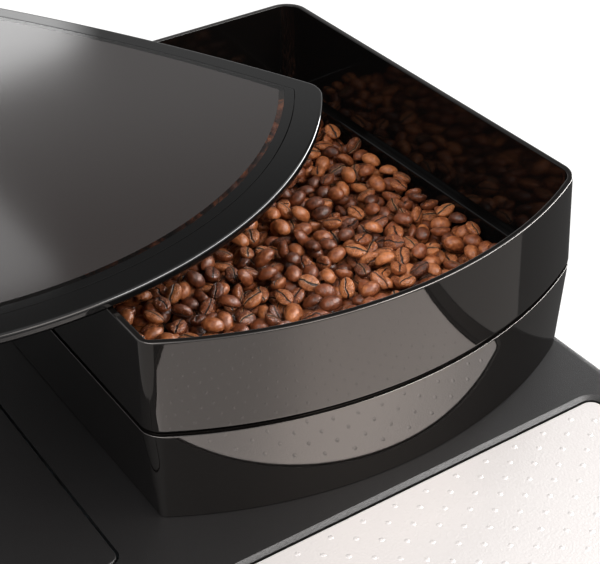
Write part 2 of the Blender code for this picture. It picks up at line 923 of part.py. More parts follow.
def make_service_door(root):
    axis_x = half_width - panel_wall / 2
    axis_y = door_centre_y + door_depth / 2 - panel_wall / 2
    front = door_centre_y - door_depth / 2
    outline = [(axis_x - panel_wall / 2, front), (axis_x + panel_wall / 2, front)]
    for step in range(corner_steps * 2 + 1):
        turn = math.pi * step / (corner_steps * 2)
        outline.append((axis_x + panel_wall / 2 * math.cos(turn), axis_y + panel_wall / 2 * math.sin(turn)))
    top = door_bottom + door_height
    door = finish("service_door", loft([(outline, door_bottom), (outline, top)]), matte_black())
    low_end = door_bottom - door_pin_length
    high_end = top + door_pin_length
    pin_low = post(axis_x, axis_y, door_pin_radius, low_end, door_bottom + panel_wall, small_round_steps)
    pin_high = post(axis_x, axis_y, door_pin_radius, top - panel_wall, high_end, small_round_steps)
    fuse(door, joined(pin_low, pin_high))
    recess_y = front + finger_recess_radius * 2
    recess = post(0, 0, finger_recess_radius, half_width - finger_recess_depth, half_width + cut_overrun)
    cut(door, lay_along_x(recess, recess_y, door_bottom + door_height / 2))
    place(door, root, (axis_x, axis_y, door_bottom + door_height / 2))


def make_rear_panel(root):
    outer = inset_rectangle((-half_width, half_width, -half_depth, half_depth), 0, body_corner)
    inner = inset_rectangle((-half_width, half_width, -half_depth, half_depth), panel_wall, body_corner)
    panel = finish("rear_panel", loft([(outer, panel_bottom), (outer, panel_top),
                                       (inner, panel_top), (inner, panel_bottom)], True), matte_black())
    cut(panel, box(-body_width, body_width, -body_depth, half_depth - flange_depth,
                   panel_bottom - cut_overrun, panel_top + cut_overrun))
    front = half_depth - panel_wall - cut_overrun
    back = half_depth + cut_overrun
    cutters = []
    for row in range(vent_count):
        level = vent_level + (row - (vent_count - 1) / 2) * vent_pitch
        cutters.append(box(-vent_width / 2, vent_width / 2, front, back, level - vent_height / 2,
                           level + vent_height / 2))
    inlet_half = inlet_width / 2 + seat_gap
    inlet_rise = inlet_height / 2 + seat_gap
    cutters.append(box(inlet_x - inlet_half, inlet_x + inlet_half, front, back,
                       inlet_level - inlet_rise, inlet_level + inlet_rise))
    rocker_half = rocker_width / 2 + running_gap
    rocker_rise = rocker_height / 2 + running_gap + rocker_depth / 2 * math.sin(rocker_tilt)
    cutters.append(box(rocker_x - rocker_half, rocker_x + rocker_half, front, back,
                       inlet_level - rocker_rise, inlet_level + rocker_rise))
    cut(panel, joined(*cutters))
    place(panel, root)


def make_power_inlet(root):
    half = inlet_width / 2
    rise = inlet_height / 2
    face = half_depth + seat_gap + inlet_flange_thickness
    back = face - inlet_depth
    inlet = finish("power_inlet", box(inlet_x - half, inlet_x + half, back, face - inlet_flange_thickness / 2,
                                      inlet_level - rise, inlet_level + rise), dark_plastic())
    fuse(inlet, box(inlet_x - half - inlet_flange, inlet_x + half + inlet_flange, half_depth + seat_gap, face,
                    inlet_level - rise - inlet_flange, inlet_level + rise + inlet_flange))
    cut(inlet, box(inlet_x - half + inlet_wall, inlet_x + half - inlet_wall, back + inlet_floor,
                   face + cut_overrun, inlet_level - rise + inlet_wall, inlet_level + rise - inlet_wall))
    for column, raised in ((-1, 0), (0, 1), (1, 0)):
        x = inlet_x + column * contact_spacing
        z = inlet_level + raised * contact_rise
        fuse(inlet, box(x - contact_width / 2, x + contact_width / 2, back + inlet_floor / 2,
                        back + inlet_floor + contact_length, z - contact_height / 2, z + contact_height / 2))
    place(inlet, root)


def make_power_switch(root):
    half = rocker_width / 2
    rocker_mesh = box(-half, half, -rocker_depth / 2, rocker_depth / 2, -rocker_height / 2, rocker_height / 2)
    rocker_mesh.transform(Matrix.Rotation(-rocker_tilt, 4, "X"))
    centre = (rocker_x, half_depth - panel_wall / 2, inlet_level)
    rocker_mesh.transform(Matrix.Translation(centre))
    rocker = finish("power_switch", rocker_mesh, dark_plastic())
    place(rocker, root, centre)


def make_top_deck(root):
    bounds = (-half_width, half_width, -half_depth, half_depth)
    outer = inset_rectangle(bounds, 0, body_corner)
    rings = [(outer, deck_bottom)]
    for step in range(corner_steps + 1):
        turn = right_angle * step / corner_steps
        inset = deck_edge * (1 - math.cos(turn))
        level = deck_level - deck_edge * (1 - math.sin(turn))
        rings.append((inset_rectangle(bounds, inset, body_corner), level))
    inner = inset_rectangle(bounds, panel_wall, body_corner)
    ceiling = deck_level - panel_wall
    under = [(inner, deck_bottom), (inner, ceiling - panel_wall / 2)]
    upright = loft(rings)
    deck = finish("top_deck", upright, matte_black())
    low_edge, high_edge = under
    cut(deck, loft([(low_edge[0], deck_bottom - cut_overrun), (high_edge[0], ceiling)]))
    hole = hopper_outline(deck_hole_inset)
    cut(deck, loft([(hole, ceiling - cut_overrun), (hole, deck_level + cut_overrun)]))
    cut(deck, box(-half_width - cut_overrun, tank_right + seam_gap, tank_front_y - seam_gap, tank_rear + seam_gap,
                  deck_bottom - cut_overrun, deck_level + cut_overrun))
    cut(deck, plate_pocket())
    place(deck, root)


def plate_bounds():
    return (plate_side_border - half_width, half_width - plate_side_border,
            plate_front_border - half_depth, hopper_front - plate_gap_to_hopper)


def plate_pocket():
    bounds = plate_bounds()
    floor_level = deck_level - plate_sink - plate_thickness - seat_gap
    straight = inset_rectangle(bounds, -seam_gap, plate_corner)
    flared = inset_rectangle(bounds, -seam_gap - pocket_rim, plate_corner)
    return loft([(straight, floor_level), (straight, deck_level - pocket_rim_drop), (flared, deck_level),
                 (flared, deck_level + cut_overrun)])


def make_cup_plate(root):
    bounds = plate_bounds()
    top = deck_level - plate_sink
    outline = inset_rectangle(bounds, 0, plate_corner)
    plate = finish("cup_plate", loft([(outline, top - plate_thickness), (outline, top)]), steel())
    place(plate, root)


# Chassis


def make_chassis(root):
    front = bay_back + seat_gap
    shelf_half = bin_width / 2 + chassis_wall * 2
    wall_low = pan_floor_top + seat_gap
    chassis = finish("chassis", box(-shelf_half, shelf_half, front, chassis_wall_rear,
                                    shelf_bottom, shelf_top), dark_plastic())
    for side in (-1, 1):
        inner = side * (chassis_half_width - chassis_wall)
        outer = side * chassis_half_width
        fuse(chassis, box(min(inner, outer), max(inner, outer), -chassis_wall_front, chassis_wall_rear,
                          wall_low, upper_shelf_top))
    rear_wall = box(-chassis_half_width, chassis_right, chassis_wall_rear - chassis_wall, chassis_wall_rear,
                    wall_low, upper_shelf_top)
    fuse(chassis, rear_wall)
    fuse(chassis, box(-chassis_left, chassis_right, -chassis_wall_front, chassis_rear,
                      upper_shelf_bottom, upper_shelf_top))
    fuse(chassis, box(-chassis_left, chassis_right, chassis_wall_rear - chassis_wall / 2, chassis_rear,
                      shelf_bottom, shelf_top))
    fuse(chassis, box(chassis_half_width - chassis_wall / 2, chassis_right, -chassis_wall_front,
                      chassis_wall_rear - chassis_wall / 2, brew_shelf_top - chassis_wall, brew_shelf_top))
    for post_x in (-chassis_left, chassis_right - post_size):
        fuse(chassis, box(post_x, post_x + post_size, chassis_rear - post_size, chassis_rear,
                          wall_low, upper_shelf_top))
    shaft_room = burr_shaft_radius + running_gap
    low = upper_shelf_bottom - cut_overrun
    high = upper_shelf_top + cut_overrun
    cut(chassis, joined(post(grinder_x, grinder_y, shaft_room, low, high),
                        post(motor_x, grinder_y, motor_shaft_radius + running_gap, low, high),
                        post(brew_x, brew_y, screw_radius + running_gap, low, high)))
    nipple_hole = post(0, 0, nipple_radius + running_gap, 0, cut_overrun * 4)
    cut(chassis, lay_along_y(shifted(nipple_hole, chassis_wall_rear - cut_overrun * 2), brew_nipple_x(),
                             brew_nipple_level()))
    place(chassis, root)


def shifted(mesh_data, along):
    mesh_data.transform(Matrix.Translation((0, 0, along)))
    return mesh_data


# Drip tray, grate, float and bay


def make_drip_tray(root):
    bounds = (-tray_half, tray_half, -half_depth, tray_back)
    outer = inset_rectangle(bounds, 0, panel_wall)
    low_inner = inset_rectangle(bounds, tray_wall, panel_wall)
    high_inner = inset_rectangle(bounds, tray_wall - grate_ledge, panel_wall)
    ledge = grate_bottom - seat_gap
    tray = finish("drip_tray", loft([(outer, tray_bottom), (outer, tray_top), (high_inner, tray_top),
                                     (high_inner, ledge), (low_inner, ledge),
                                     (low_inner, tray_bottom + tray_floor)]), gloss_black())
    place(tray, root, (0, -half_depth, tray_bottom))


def make_drip_grate(root):
    half = tray_half - tray_wall + grate_ledge - seat_gap
    front = -half_depth + tray_wall - grate_ledge + seat_gap
    top = tray_top - seat_gap
    grate = finish("drip_grate", box(-half, half, front, front + grate_depth, grate_bottom, top), steel())
    slots = []
    slot_front = front + (grate_depth - slot_length) / 2
    for index in range(slot_count):
        x = (index - (slot_count - 1) / 2) * slot_pitch
        slots.append(box(x - slot_width / 2, x + slot_width / 2, slot_front, slot_front + slot_length,
                         grate_bottom - cut_overrun, top + cut_overrun))
    slots.append(post(float_x, float_y, float_radius + float_hole_gap, grate_bottom - cut_overrun,
                      top + cut_overrun))
    cut(grate, joined(*slots))
    place(grate, root)


def make_drip_float(root):
    low = tray_bottom + tray_floor + seat_gap
    high = low + float_height
    profile = [(float_radius, low), (float_radius, high - float_radius * (1 - float_dome_share)),
               (float_radius * float_dome_share, high)]
    drip_float = finish("drip_float", turned(float_x, float_y, profile), red_plastic())
    place(drip_float, root, (float_x, float_y, low))


def make_bay_liner(root):
    half = tray_half
    liner = finish("bay_liner", box(-half, half, -half_depth, bay_back, liner_bottom, bay_top), dark_plastic())
    inner_back = bay_back - liner_wall
    cut(liner, box(-half + liner_wall, half - liner_wall, -half_depth - cut_overrun, inner_back,
                   liner_bottom - cut_overrun, bay_top - liner_wall))
    bin_half = bin_front_half + running_gap
    cut(liner, box(-bin_half, bin_half, inner_back - cut_overrun, bay_back + cut_overrun,
                   liner_bottom - cut_overrun, bin_front_top + running_gap))
    room = running_gap
    cut(liner, box(-spout_width / 2 - room, spout_width / 2 + room, spout_front - room, spout_back + room,
                   bay_top - liner_wall - cut_overrun, bay_top + cut_overrun))
    fuse(liner, box(-rail_width / 2, rail_width / 2, inner_back - rail_depth, inner_back + liner_wall / 2,
                    bin_front_top + running_gap * 2, bay_top))
    place(liner, root)


def make_spout(root):
    bounds = (-spout_width / 2, spout_width / 2, spout_front, spout_back)
    top = spout_bottom + spout_height
    outline = inset_rectangle(bounds, 0, spout_corner)
    inner = inset_rectangle(bounds, spout_wall * 2, spout_corner)
    body = finish("spout_body", loft([(outline, spout_bottom), (outline, top), (inner, top),
                                      (inner, spout_bottom + spout_wall)]), gloss_black())
    groove_half = rail_width / 2 + seat_gap
    groove_front = bay_back - liner_wall - rail_depth - seat_gap
    cut(body, box(-groove_half, groove_half, groove_front, spout_back + cut_overrun,
                  spout_bottom - cut_overrun, top + cut_overrun))
    origin = (0, spout_back, spout_bottom)
    place(body, root, origin)
    plate_top = spout_bottom - seat_gap
    plate_low = plate_top - nozzle_plate
    plate_outline = inset_rectangle(bounds, nozzle_plate_inset, spout_corner)
    nozzles = finish("spout_nozzles", loft([(plate_outline, plate_low), (plate_outline, plate_top)]), steel())
    nozzle_y = spout_front + nozzle_setback
    tubes = []
    bores = []
    for side in (-1, 1):
        x = side * nozzle_spacing / 2
        tubes.append(post(x, nozzle_y, nozzle_radius, plate_low - nozzle_length, plate_low + nozzle_plate / 2))
        bores.append(post(x, nozzle_y, nozzle_bore, plate_low - nozzle_length - cut_overrun, plate_low))
    fuse(nozzles, joined(*tubes))
    cut(nozzles, joined(*bores))
    place(nozzles, root, origin)


def make_grounds_bin(root):
    front = bay_back - liner_wall
    half = bin_width / 2
    bounds = (-half, half, front + bin_front_wall / 2, front + bin_depth)
    bin_mesh = tub(bounds, bin_wall, bin_wall, bin_wall, bin_bottom, bin_bottom + bin_height)
    grounds_bin = finish("grounds_bin", bin_mesh, dark_plastic())
    fuse(grounds_bin, box(-bin_front_half, bin_front_half, front, front + bin_front_wall,
                          bin_bottom, bin_front_top))
    cut(grounds_bin, box(-bin_notch_width / 2, bin_notch_width / 2, front - cut_overrun,
                         front + bin_front_wall + cut_overrun, bin_front_top - bin_notch_depth,
                         bin_front_top + cut_overrun))
    place(grounds_bin, root, (0, front, bin_bottom))


# Water tank


def ear_boxes(clearance, extra_height):
    """The two hinge ears at the ends of the tank's outer rim, or the notches round them."""
    x_low = -half_width - (cut_overrun if clearance else 0)
    x_high = -half_width + ear_width + clearance
    z_low = tank_top - tank_wall
    z_high = deck_level - seat_gap + extra_height
    boxes = []
    for y_low, y_high in ((tank_front_y, tank_front_y + ear_length), (tank_rear - ear_length, tank_rear)):
        reach_low = y_low - (cut_overrun if clearance and y_low == tank_front_y else clearance)
        reach_high = y_high + (cut_overrun if clearance and y_high == tank_rear else clearance)
        boxes.append(box(x_low, x_high, reach_low, reach_high, z_low, z_high))
    return boxes


def tank_hinge():
    return (-half_width + tank_lid_thickness / 2, (tank_front_y + tank_rear) / 2,
            deck_level - tank_lid_thickness / 2)


def make_water_tank(root):
    bounds = (-half_width, tank_right, tank_front_y, tank_rear)
    shell = tub(bounds, tank_corner, tank_wall, tank_wall, tank_bottom, tank_top)
    tank = finish("water_tank", shell, clear_tint())
    for ear in ear_boxes(0, 0):
        fuse(tank, ear)
    hinge_x, hinge_y, hinge_z = tank_hinge()
    pin_hole = post(0, 0, ear_pin_radius + seat_gap, tank_front_y + ear_length / 3,
                    tank_rear - ear_length / 3, small_round_steps)
    cut(tank, lay_along_y(pin_hole, hinge_x, hinge_z))
    valve_hole = post(0, 0, valve_radius + seat_gap, tank_right - tank_wall - cut_overrun,
                      tank_right + cut_overrun, small_round_steps)
    cut(tank, lay_along_x(valve_hole, port_y, port_level))
    place(tank, root, (tank_right, hinge_y, tank_bottom))


def make_tank_lid(root):
    hinge_x, hinge_y, hinge_z = tank_hinge()
    half = tank_lid_thickness / 2
    turns = [right_angle * 2 * step / (corner_steps * 2) for step in range(corner_steps * 2 + 1)]
    profile = [(tank_right, -half), (tank_right, half)]
    profile += [(hinge_x - half * math.sin(turn), half * math.cos(turn)) for turn in turns]
    mesh_data = bmesh.new()
    front_ring = [mesh_data.verts.new((x, tank_front_y, hinge_z + z)) for x, z in profile]
    rear_ring = [mesh_data.verts.new((x, tank_rear, hinge_z + z)) for x, z in profile]
    bridge(mesh_data, rear_ring, front_ring)
    mesh_data.faces.new(front_ring)
    mesh_data.faces.new(list(reversed(rear_ring)))
    bmesh.ops.recalc_face_normals(mesh_data, faces=mesh_data.faces)
    lid = finish("tank_lid", mesh_data, matte_black())
    cut(lid, joined(*ear_boxes(seat_gap, cut_overrun)))
    pins = []
    for low, high in ((tank_front_y + ear_length / 2, tank_front_y + ear_length * 2),
                      (tank_rear - ear_length * 2, tank_rear - ear_length / 2)):
        pins.append(lay_along_y(post(0, 0, ear_pin_radius, low, high, small_round_steps), hinge_x, hinge_z))
    fuse(lid, joined(*pins))
    place(lid, root, (hinge_x, hinge_y, hinge_z))


def make_tank_cradle(root):
    bounds = (-half_width + panel_wall + seat_gap, tank_right, tank_front_y + seat_gap, tank_rear - seat_gap)
    outer = inset_rectangle(bounds, 0, tank_corner)
    inner = inset_rectangle(bounds, cradle_wall, tank_corner)
    low = pan_floor_top + seat_gap
    top = tank_bottom - seat_gap
    cradle = finish("tank_cradle", loft([(inner, top - cradle_wall), (inner, low), (outer, low), (outer, top)]),
                    dark_plastic())
    place(cradle, root)


def make_tank_port(root):
    left = tank_right + seat_gap
    right = -chassis_half_width - seat_gap
    profile = [(port_radius, left), (port_radius, right)]
    port = finish("tank_port", lay_along_x(turned(0, 0, profile), port_y, port_level), white_nylon())
    place(port, root)


def make_tank_valve(root):
    face = tank_right
    seat = face - tank_wall - seat_gap
    profile = [(valve_head_radius, seat - valve_head_thickness), (valve_head_radius, seat), (valve_radius, seat),
               (valve_radius, face)]
    stem = lay_along_x(turned(0, 0, profile, small_round_steps), port_y, port_level)
    valve = finish("tank_valve", stem, white_nylon())
    place(valve, root, (face, port_y, port_level))


# Hopper


def make_hopper_base(root):
    top = deck_level + groove_bottom
    lip_top = ledge_top - ledge_thickness - seat_gap
    lip_low = lip_top - base_lip_thickness
    low = deck_level + seat_gap
    lip_inset = base_inner_face + base_lip_width
    lip_wall_inset = base_wall - hopper_flare * lip_flare_share
    rings = [(hopper_outline(hopper_taper), low), (hopper_outline(-hopper_flare), top),
             (hopper_outline(base_inner_face), top), (hopper_outline(base_inner_face), lip_top),
             (hopper_outline(lip_inset), lip_top), (hopper_outline(lip_inset), lip_low),
             (hopper_outline(lip_wall_inset), lip_low), (hopper_outline(hopper_taper + base_wall), low)]
    base = finish("hopper_base", loft(rings, True), gloss_black())
    place(base, root)


def make_hopper_ring(root):
    low = deck_level + groove_bottom + groove_width
    skirt_low = ledge_top + seat_gap
    rings = [(hopper_outline(skirt_face), skirt_low), (hopper_outline(skirt_face), low),
             (hopper_outline(-hopper_flare), low), (hopper_outline(0), rim_level),
             (hopper_outline(rim_wall), rim_level), (hopper_outline(skirt_face + skirt_wall), skirt_low)]
    ring = finish("hopper_ring", loft(rings, True), gloss_black())
    place(ring, root)


def funnel_rings(inset, throat, drop):
    """Outlines from the throat's bottom up to the well's top, moved in from the hopper's outline."""
    well = hopper_outline(inset)
    round_throat = onto_circle(well, grinder_x, grinder_y, throat)
    well_low = ledge_top - well_depth
    return [(round_throat, throat_bottom), (round_throat, throat_top + drop), (well, well_low + drop)]


def make_hopper_funnel(root):
    outer = funnel_rings(ledge_inner - funnel_wall, throat_radius + throat_wall, 0)
    inner = funnel_rings(ledge_inner, throat_radius, funnel_wall)
    flange_low = ledge_top - ledge_thickness
    flange_inset = skirt_face
    rings = outer + [(hopper_outline(ledge_inner - funnel_wall), flange_low),
                     (hopper_outline(flange_inset), flange_low), (hopper_outline(flange_inset), ledge_top),
                     (hopper_outline(ledge_inner), ledge_top)] + list(reversed(inner))
    funnel = finish("hopper_funnel", loft(rings, True), gloss_black())
    cut(funnel, post(adjuster_x, adjuster_y, adjuster_shaft_radius + running_gap, throat_bottom, ledge_top))
    place(funnel, root)


def lumpy(x, y, height):
    spot = Vector((x / bean_lump_pitch, y / bean_lump_pitch, bean_seed_offset))
    return height + bean_lump * noise.noise(spot)


def make_coffee_beans(root):
    inset = ledge_inner + seat_gap
    rings = funnel_rings(inset, throat_radius - seat_gap, funnel_wall + seam_gap)
    fill_level = ledge_top - bean_fill_drop
    edge = hopper_outline(inset)
    mesh_data = bmesh.new()
    made = [add_ring(mesh_data, points, height) for points, height in rings]
    made.append([mesh_data.verts.new((x, y, lumpy(x, y, fill_level - bean_crown))) for x, y in edge])
    middle = [(grinder_x, grinder_y)] * len(edge)
    for step in range(1, bean_rings):
        share = step / bean_rings
        points = between(edge, middle, share)
        crown = bean_crown * (1 - 2 * (1 - share) ** 2)
        made.append([mesh_data.verts.new((x, y, lumpy(x, y, fill_level + crown))) for x, y in points])
    for lower, upper in zip(made, made[1:]):
        bridge(mesh_data, lower, upper)
    mesh_data.faces.new(list(reversed(made[0])))
    peak = mesh_data.verts.new((grinder_x, grinder_y, lumpy(grinder_x, grinder_y, fill_level + bean_crown)))
    last = made[-1]
    for index in range(len(last)):
        mesh_data.faces.new((last[index], last[(index + 1) % len(last)], peak))
    beans = finish("coffee_beans", mesh_data, roasted_bean())
    cut(beans, post(adjuster_x, adjuster_y, adjuster_knob_radius + running_gap, throat_bottom - cut_overrun,
                    adjuster_knob_level + adjuster_knob_height + running_gap))
    place(beans, root)


# Lid


def make_lid(root):
    pivot = (lid_pivot_x, lid_pivot_y, lid_bottom)
    step_level = lid_bottom + lid_thickness / 3
    edge_level = lid_top - lid_edge
    window_low = lid_top - lid_window_thickness
    ledge_side = lid_side_band + lid_rebate
    ledge_front = lid_front_band + lid_rebate
    rings = [(lid_outline(lid_lower_inset, lid_lower_inset), lid_bottom),
             (lid_outline(lid_edge / 2, lid_edge / 2), step_level),
             (lid_outline(0, 0), step_level + lid_edge / 2),
             (lid_outline(0, 0), edge_level), (lid_outline(lid_edge, lid_edge), lid_top),
             (lid_outline(lid_side_band, lid_front_band), lid_top),
             (lid_outline(lid_side_band, lid_front_band), window_low - seat_gap),
             (lid_outline(ledge_side, ledge_front), window_low - seat_gap),
             (lid_outline(ledge_side, ledge_front), lid_bottom)]
    frame = finish("lid_frame", loft(rings, True), gloss_black())
    window_outline = lid_outline(lid_side_band + seat_gap, lid_front_band + seat_gap)
    plate = loft([(window_outline, window_low), (window_outline, lid_top)])
    window = finish("lid_window", plate, smoked_window())
    for piece in (frame, window):
        place(piece, root, pivot)
        piece.rotation_euler.z = lid_swing


# Grinder


def make_grinder_housing(root):
    inner = grinder_radius - grinder_wall
    floor_top = grinder_bottom + grinder_floor
    hole = burr_shaft_radius + running_gap
    profile = [(hole, grinder_bottom), (grinder_radius, grinder_bottom), (grinder_radius, grinder_top),
               (inner, grinder_top), (inner, floor_top), (hole, floor_top)]
    housing = finish("grinder_housing", turned(grinder_x, grinder_y, profile, closed_loop=True), dark_plastic())
    posts = []
    for turn in grinder_post_angles:
        x = grinder_x + grinder_post_ring * math.cos(turn)
        y = grinder_y + grinder_post_ring * math.sin(turn)
        low = upper_shelf_top + seat_gap
        high = grinder_bottom + grinder_floor / 2
        posts.append(post(x, y, grinder_post_radius, low, high, small_round_steps))
    fuse(housing, joined(*posts))
    place(housing, root)


def burr_outline(radius, phase):
    points = []
    for tooth in range(burr_teeth):
        for share, depth in zip(burr_tooth_shares, (0, 0, burr_tooth_depth)):
            turn = phase + full_turn * (tooth + share) / burr_teeth
            points.append((grinder_x + (radius - depth) * math.cos(turn),
                           grinder_y + (radius - depth) * math.sin(turn)))
    return points


def make_lower_burr(root):
    burr_low = grinder_bottom + grinder_floor + running_gap * 2
    shaft = circle(grinder_x, grinder_y, burr_shaft_radius, burr_teeth * 3)
    rings = [(shaft, upper_shelf_bottom + seat_gap), (shaft, burr_low)]
    rings.append((burr_outline(burr_base_radius, 0), burr_low))
    for step in range(burr_levels + 1):
        share = step / burr_levels
        radius = burr_base_radius + (burr_tip_radius - burr_base_radius) * share
        level = burr_low + burr_height * (burr_foot_share + (1 - burr_foot_share) * share)
        rings.append((burr_outline(radius, burr_twist * share), level))
    burr = finish("lower_burr", loft(rings), steel(), math.radians(25))
    place(burr, root, (grinder_x, grinder_y, burr_low))


def make_upper_burr(root):
    low = grinder_bottom + grinder_floor + running_gap * 2 + burr_height * burr_foot_share
    high = grinder_top - running_gap
    outer = circle(grinder_x, grinder_y, grinder_radius - grinder_wall - running_gap, burr_teeth * 3)
    rings = [(outer, low), (outer, high)]
    slope = (burr_base_radius - burr_tip_radius) / (burr_height * (1 - burr_foot_share))
    mouth = burr_base_radius + burr_spacing
    for level in (high, low + (high - low) / 2, low):
        radius = max(mouth - slope * (level - low), throat_radius)
        share = (level - low) / (high - low)
        rings.append((burr_outline(radius + burr_tooth_depth, -burr_twist * share), level))
    burr = finish("upper_burr", loft(rings, True), steel(), math.radians(25))
    place(burr, root, (grinder_x, grinder_y, low))


def make_burr_carrier(root):
    outline = gear_outline(grinder_x, grinder_y, ring_teeth, adjuster_bearing, 1)
    carrier = gear_wheel("burr_carrier", outline, ring_bottom, white_nylon())
    cut(carrier, post(grinder_x, grinder_y, throat_radius + throat_wall + running_gap,
                      ring_bottom - cut_overrun, ring_bottom + gear_width + cut_overrun))
    place(carrier, root, (grinder_x, grinder_y, ring_bottom))


def make_grind_adjuster(root):
    facing = facing_gap(adjuster_bearing, pinion_teeth)
    outline = gear_outline(adjuster_x, adjuster_y, pinion_teeth, facing, 2)
    adjuster = gear_wheel("grind_adjuster", outline, ring_bottom, white_nylon())
    knob_top = adjuster_knob_level + adjuster_knob_height
    fuse(adjuster, turned(adjuster_x, adjuster_y, [
        (adjuster_shaft_radius, ring_bottom + gear_width / 2), (adjuster_shaft_radius, adjuster_knob_level),
        (adjuster_knob_radius, adjuster_knob_level), (adjuster_knob_radius, knob_top)], small_round_steps))
    place(adjuster, root, (adjuster_x, adjuster_y, ring_bottom))


def make_drive_gears(root):
    outline = gear_outline(grinder_x, grinder_y, drive_teeth, math.pi, 1)
    gear = gear_wheel("drive_gear", outline, gear_bottom, white_nylon())
    cut(gear, post(grinder_x, grinder_y, burr_shaft_radius + seat_gap, gear_bottom - cut_overrun,
                   gear_bottom + gear_width + cut_overrun))
    place(gear, root, (grinder_x, grinder_y, gear_bottom))
    outline = gear_outline(motor_x, grinder_y, pinion_teeth, facing_gap(math.pi, pinion_teeth), 2)
    pinion = gear_wheel("motor_pinion", outline, gear_bottom, steel())
    fuse(pinion, post(motor_x, grinder_y, motor_shaft_radius, upper_shelf_bottom, gear_bottom + gear_width / 2,
                      small_round_steps))
    place(pinion, root, (motor_x, grinder_y, gear_bottom))


def make_grinder_motor(root):
    top = upper_shelf_bottom - seat_gap
    low = top - motor_height
    edge = motor_radius * motor_edge_share
    profile = [(motor_radius - edge, low), (motor_radius, low + edge), (motor_radius, top)]
    motor = finish("grinder_motor", turned(motor_x, grinder_y, profile), grey_metal())
    place(motor, root)


# Brew unit


def brew_nipple_x():
    return boiler_x + nipple_offset


def brew_nipple_level():
    return brew_shelf_top + seat_gap + brew_frame_height * brew_nipple_share


def make_brew_frame(root):
    left = brew_x - brew_frame_width / 2
    right = brew_x + brew_frame_width / 2
    rear = chassis_wall_rear - chassis_wall - seat_gap
    front = rear - brew_frame_depth
    low = brew_shelf_top + seat_gap
    high = low + brew_frame_height
    frame = finish("brew_frame", box(left, right, front, rear, low, high), dark_plastic())
    cut(frame, box(left - cut_overrun, right + cut_overrun, front - cut_overrun, rear - brew_frame_wall,
                   low + brew_frame_wall, high - brew_frame_wall))
    cut(frame, post(brew_x, brew_y, screw_radius + running_gap, high - brew_frame_wall - cut_overrun,
                    high + cut_overrun))
    nipple = post(0, 0, nipple_radius, rear - brew_frame_wall / 2, chassis_wall_rear + chassis_wall)
    fuse(frame, lay_along_y(nipple, brew_nipple_x(), brew_nipple_level()))
    place(frame, root)


def brew_chamber_bottom():
    return brew_shelf_top + brew_frame_wall + seat_gap * 2


def chamber_height():
    return piston_stroke + chamber_margin


def make_brew_chamber(root):
    low = brew_chamber_bottom()
    high = low + chamber_height()
    profile = [(chamber_radius, low), (chamber_radius, high), (chamber_bore, high),
               (chamber_bore, low + chamber_floor)]
    chamber = finish("brew_chamber", turned(brew_x, brew_y, profile), white_nylon())
    place(chamber, root)


def piston_low():
    return brew_chamber_bottom() + chamber_height() + piston_lift


def make_brew_piston(root):
    low = piston_low()
    top = low + piston_height
    bore = screw_radius + screw_gap
    profile = [(piston_radius, low), (piston_radius, top), (nut_radius, top), (nut_radius, top + nut_height),
               (bore, top + nut_height), (bore, low + piston_floor)]
    piston = finish("brew_piston", turned(brew_x, brew_y, profile), white_nylon())
    place(piston, root, (brew_x, brew_y, low))


def make_brew_screw(root):
    low = piston_low() + piston_floor + running_gap
    shaft = post(brew_x, brew_y, screw_radius, low, upper_shelf_top, small_round_steps)
    screw = finish("brew_screw", shaft, steel())
    place(screw, root, (brew_x, brew_y, low))


def make_brew_motor(root):
    low = upper_shelf_top + seat_gap
    high = low + brew_motor_height
    edge = brew_motor_radius * motor_edge_share
    profile = [(brew_motor_radius, low), (brew_motor_radius, high - edge), (brew_motor_radius - edge, high)]
    motor = finish("brew_motor", turned(brew_x, brew_y, profile), grey_metal())
    place(motor, root)


# Water circuit


def make_boiler(root):
    low = shelf_top + seat_gap
    high = low + boiler_height
    dome = boiler_radius / 4
    profile = [(boiler_radius, low), (boiler_radius, high - dome), (boiler_radius - dome, high)]
    boiler = finish("boiler", turned(boiler_x, boiler_y, profile), grey_metal())
    for side in (-1, 1):
        fuse(boiler, post(boiler_x + side * nipple_offset, boiler_y, nipple_radius, high - dome,
                          high + nipple_length, small_round_steps))
    place(boiler, root)


def make_pump(root):
    half = pump_length / 2
    level = pump_level
    edge = pump_radius * motor_edge_share
    profile = [(pump_radius - edge, pump_x - half), (pump_radius, pump_x - half + edge),
               (pump_radius, pump_x + half - edge), (pump_radius - edge, pump_x + half)]
    pump = finish("pump", lay_along_x(turned(0, 0, profile), pump_y, level), grey_metal())
    fuse(pump, box(pump_x - half / 2, pump_x + half / 2, pump_y - pump_foot_width / 2,
                   pump_y + pump_foot_width / 2, shelf_top + seat_gap, level))
    place(pump, root)


def rounded_route(route, steps=5):
    """Straight runs between the route's points, with each corner eased into a curve."""
    corners = [Vector(point) for point in route]
    points = [corners[0]]
    for before, corner, after in zip(corners, corners[1:], corners[2:]):
        ease_in = min(hose_bend, (before - corner).length * ease_share)
        ease_out = min(hose_bend, (after - corner).length * ease_share)
        start = corner + (before - corner).normalized() * ease_in
        end = corner + (after - corner).normalized() * ease_out
        points += [start, *corner_curve(start, corner, end, steps), end]
    points.append(corners[-1])
    return points


def make_hose(root, name, route):
    points = rounded_route(route)
    curve = bpy.data.curves.new(name, "CURVE")
    curve.dimensions = "3D"
    curve.bevel_depth = hose_radius
    curve.bevel_resolution = 2
    curve.use_fill_caps = True
    spline = curve.splines.new("POLY")
    spline.points.add(len(points) - 1)
    for target, point in zip(spline.points, points):
        target.co = (*point, 1)
    curve.materials.append(hose_rubber())
    hose = bpy.data.objects.new(name, curve)
    bpy.context.collection.objects.link(hose)
    hose.parent = root


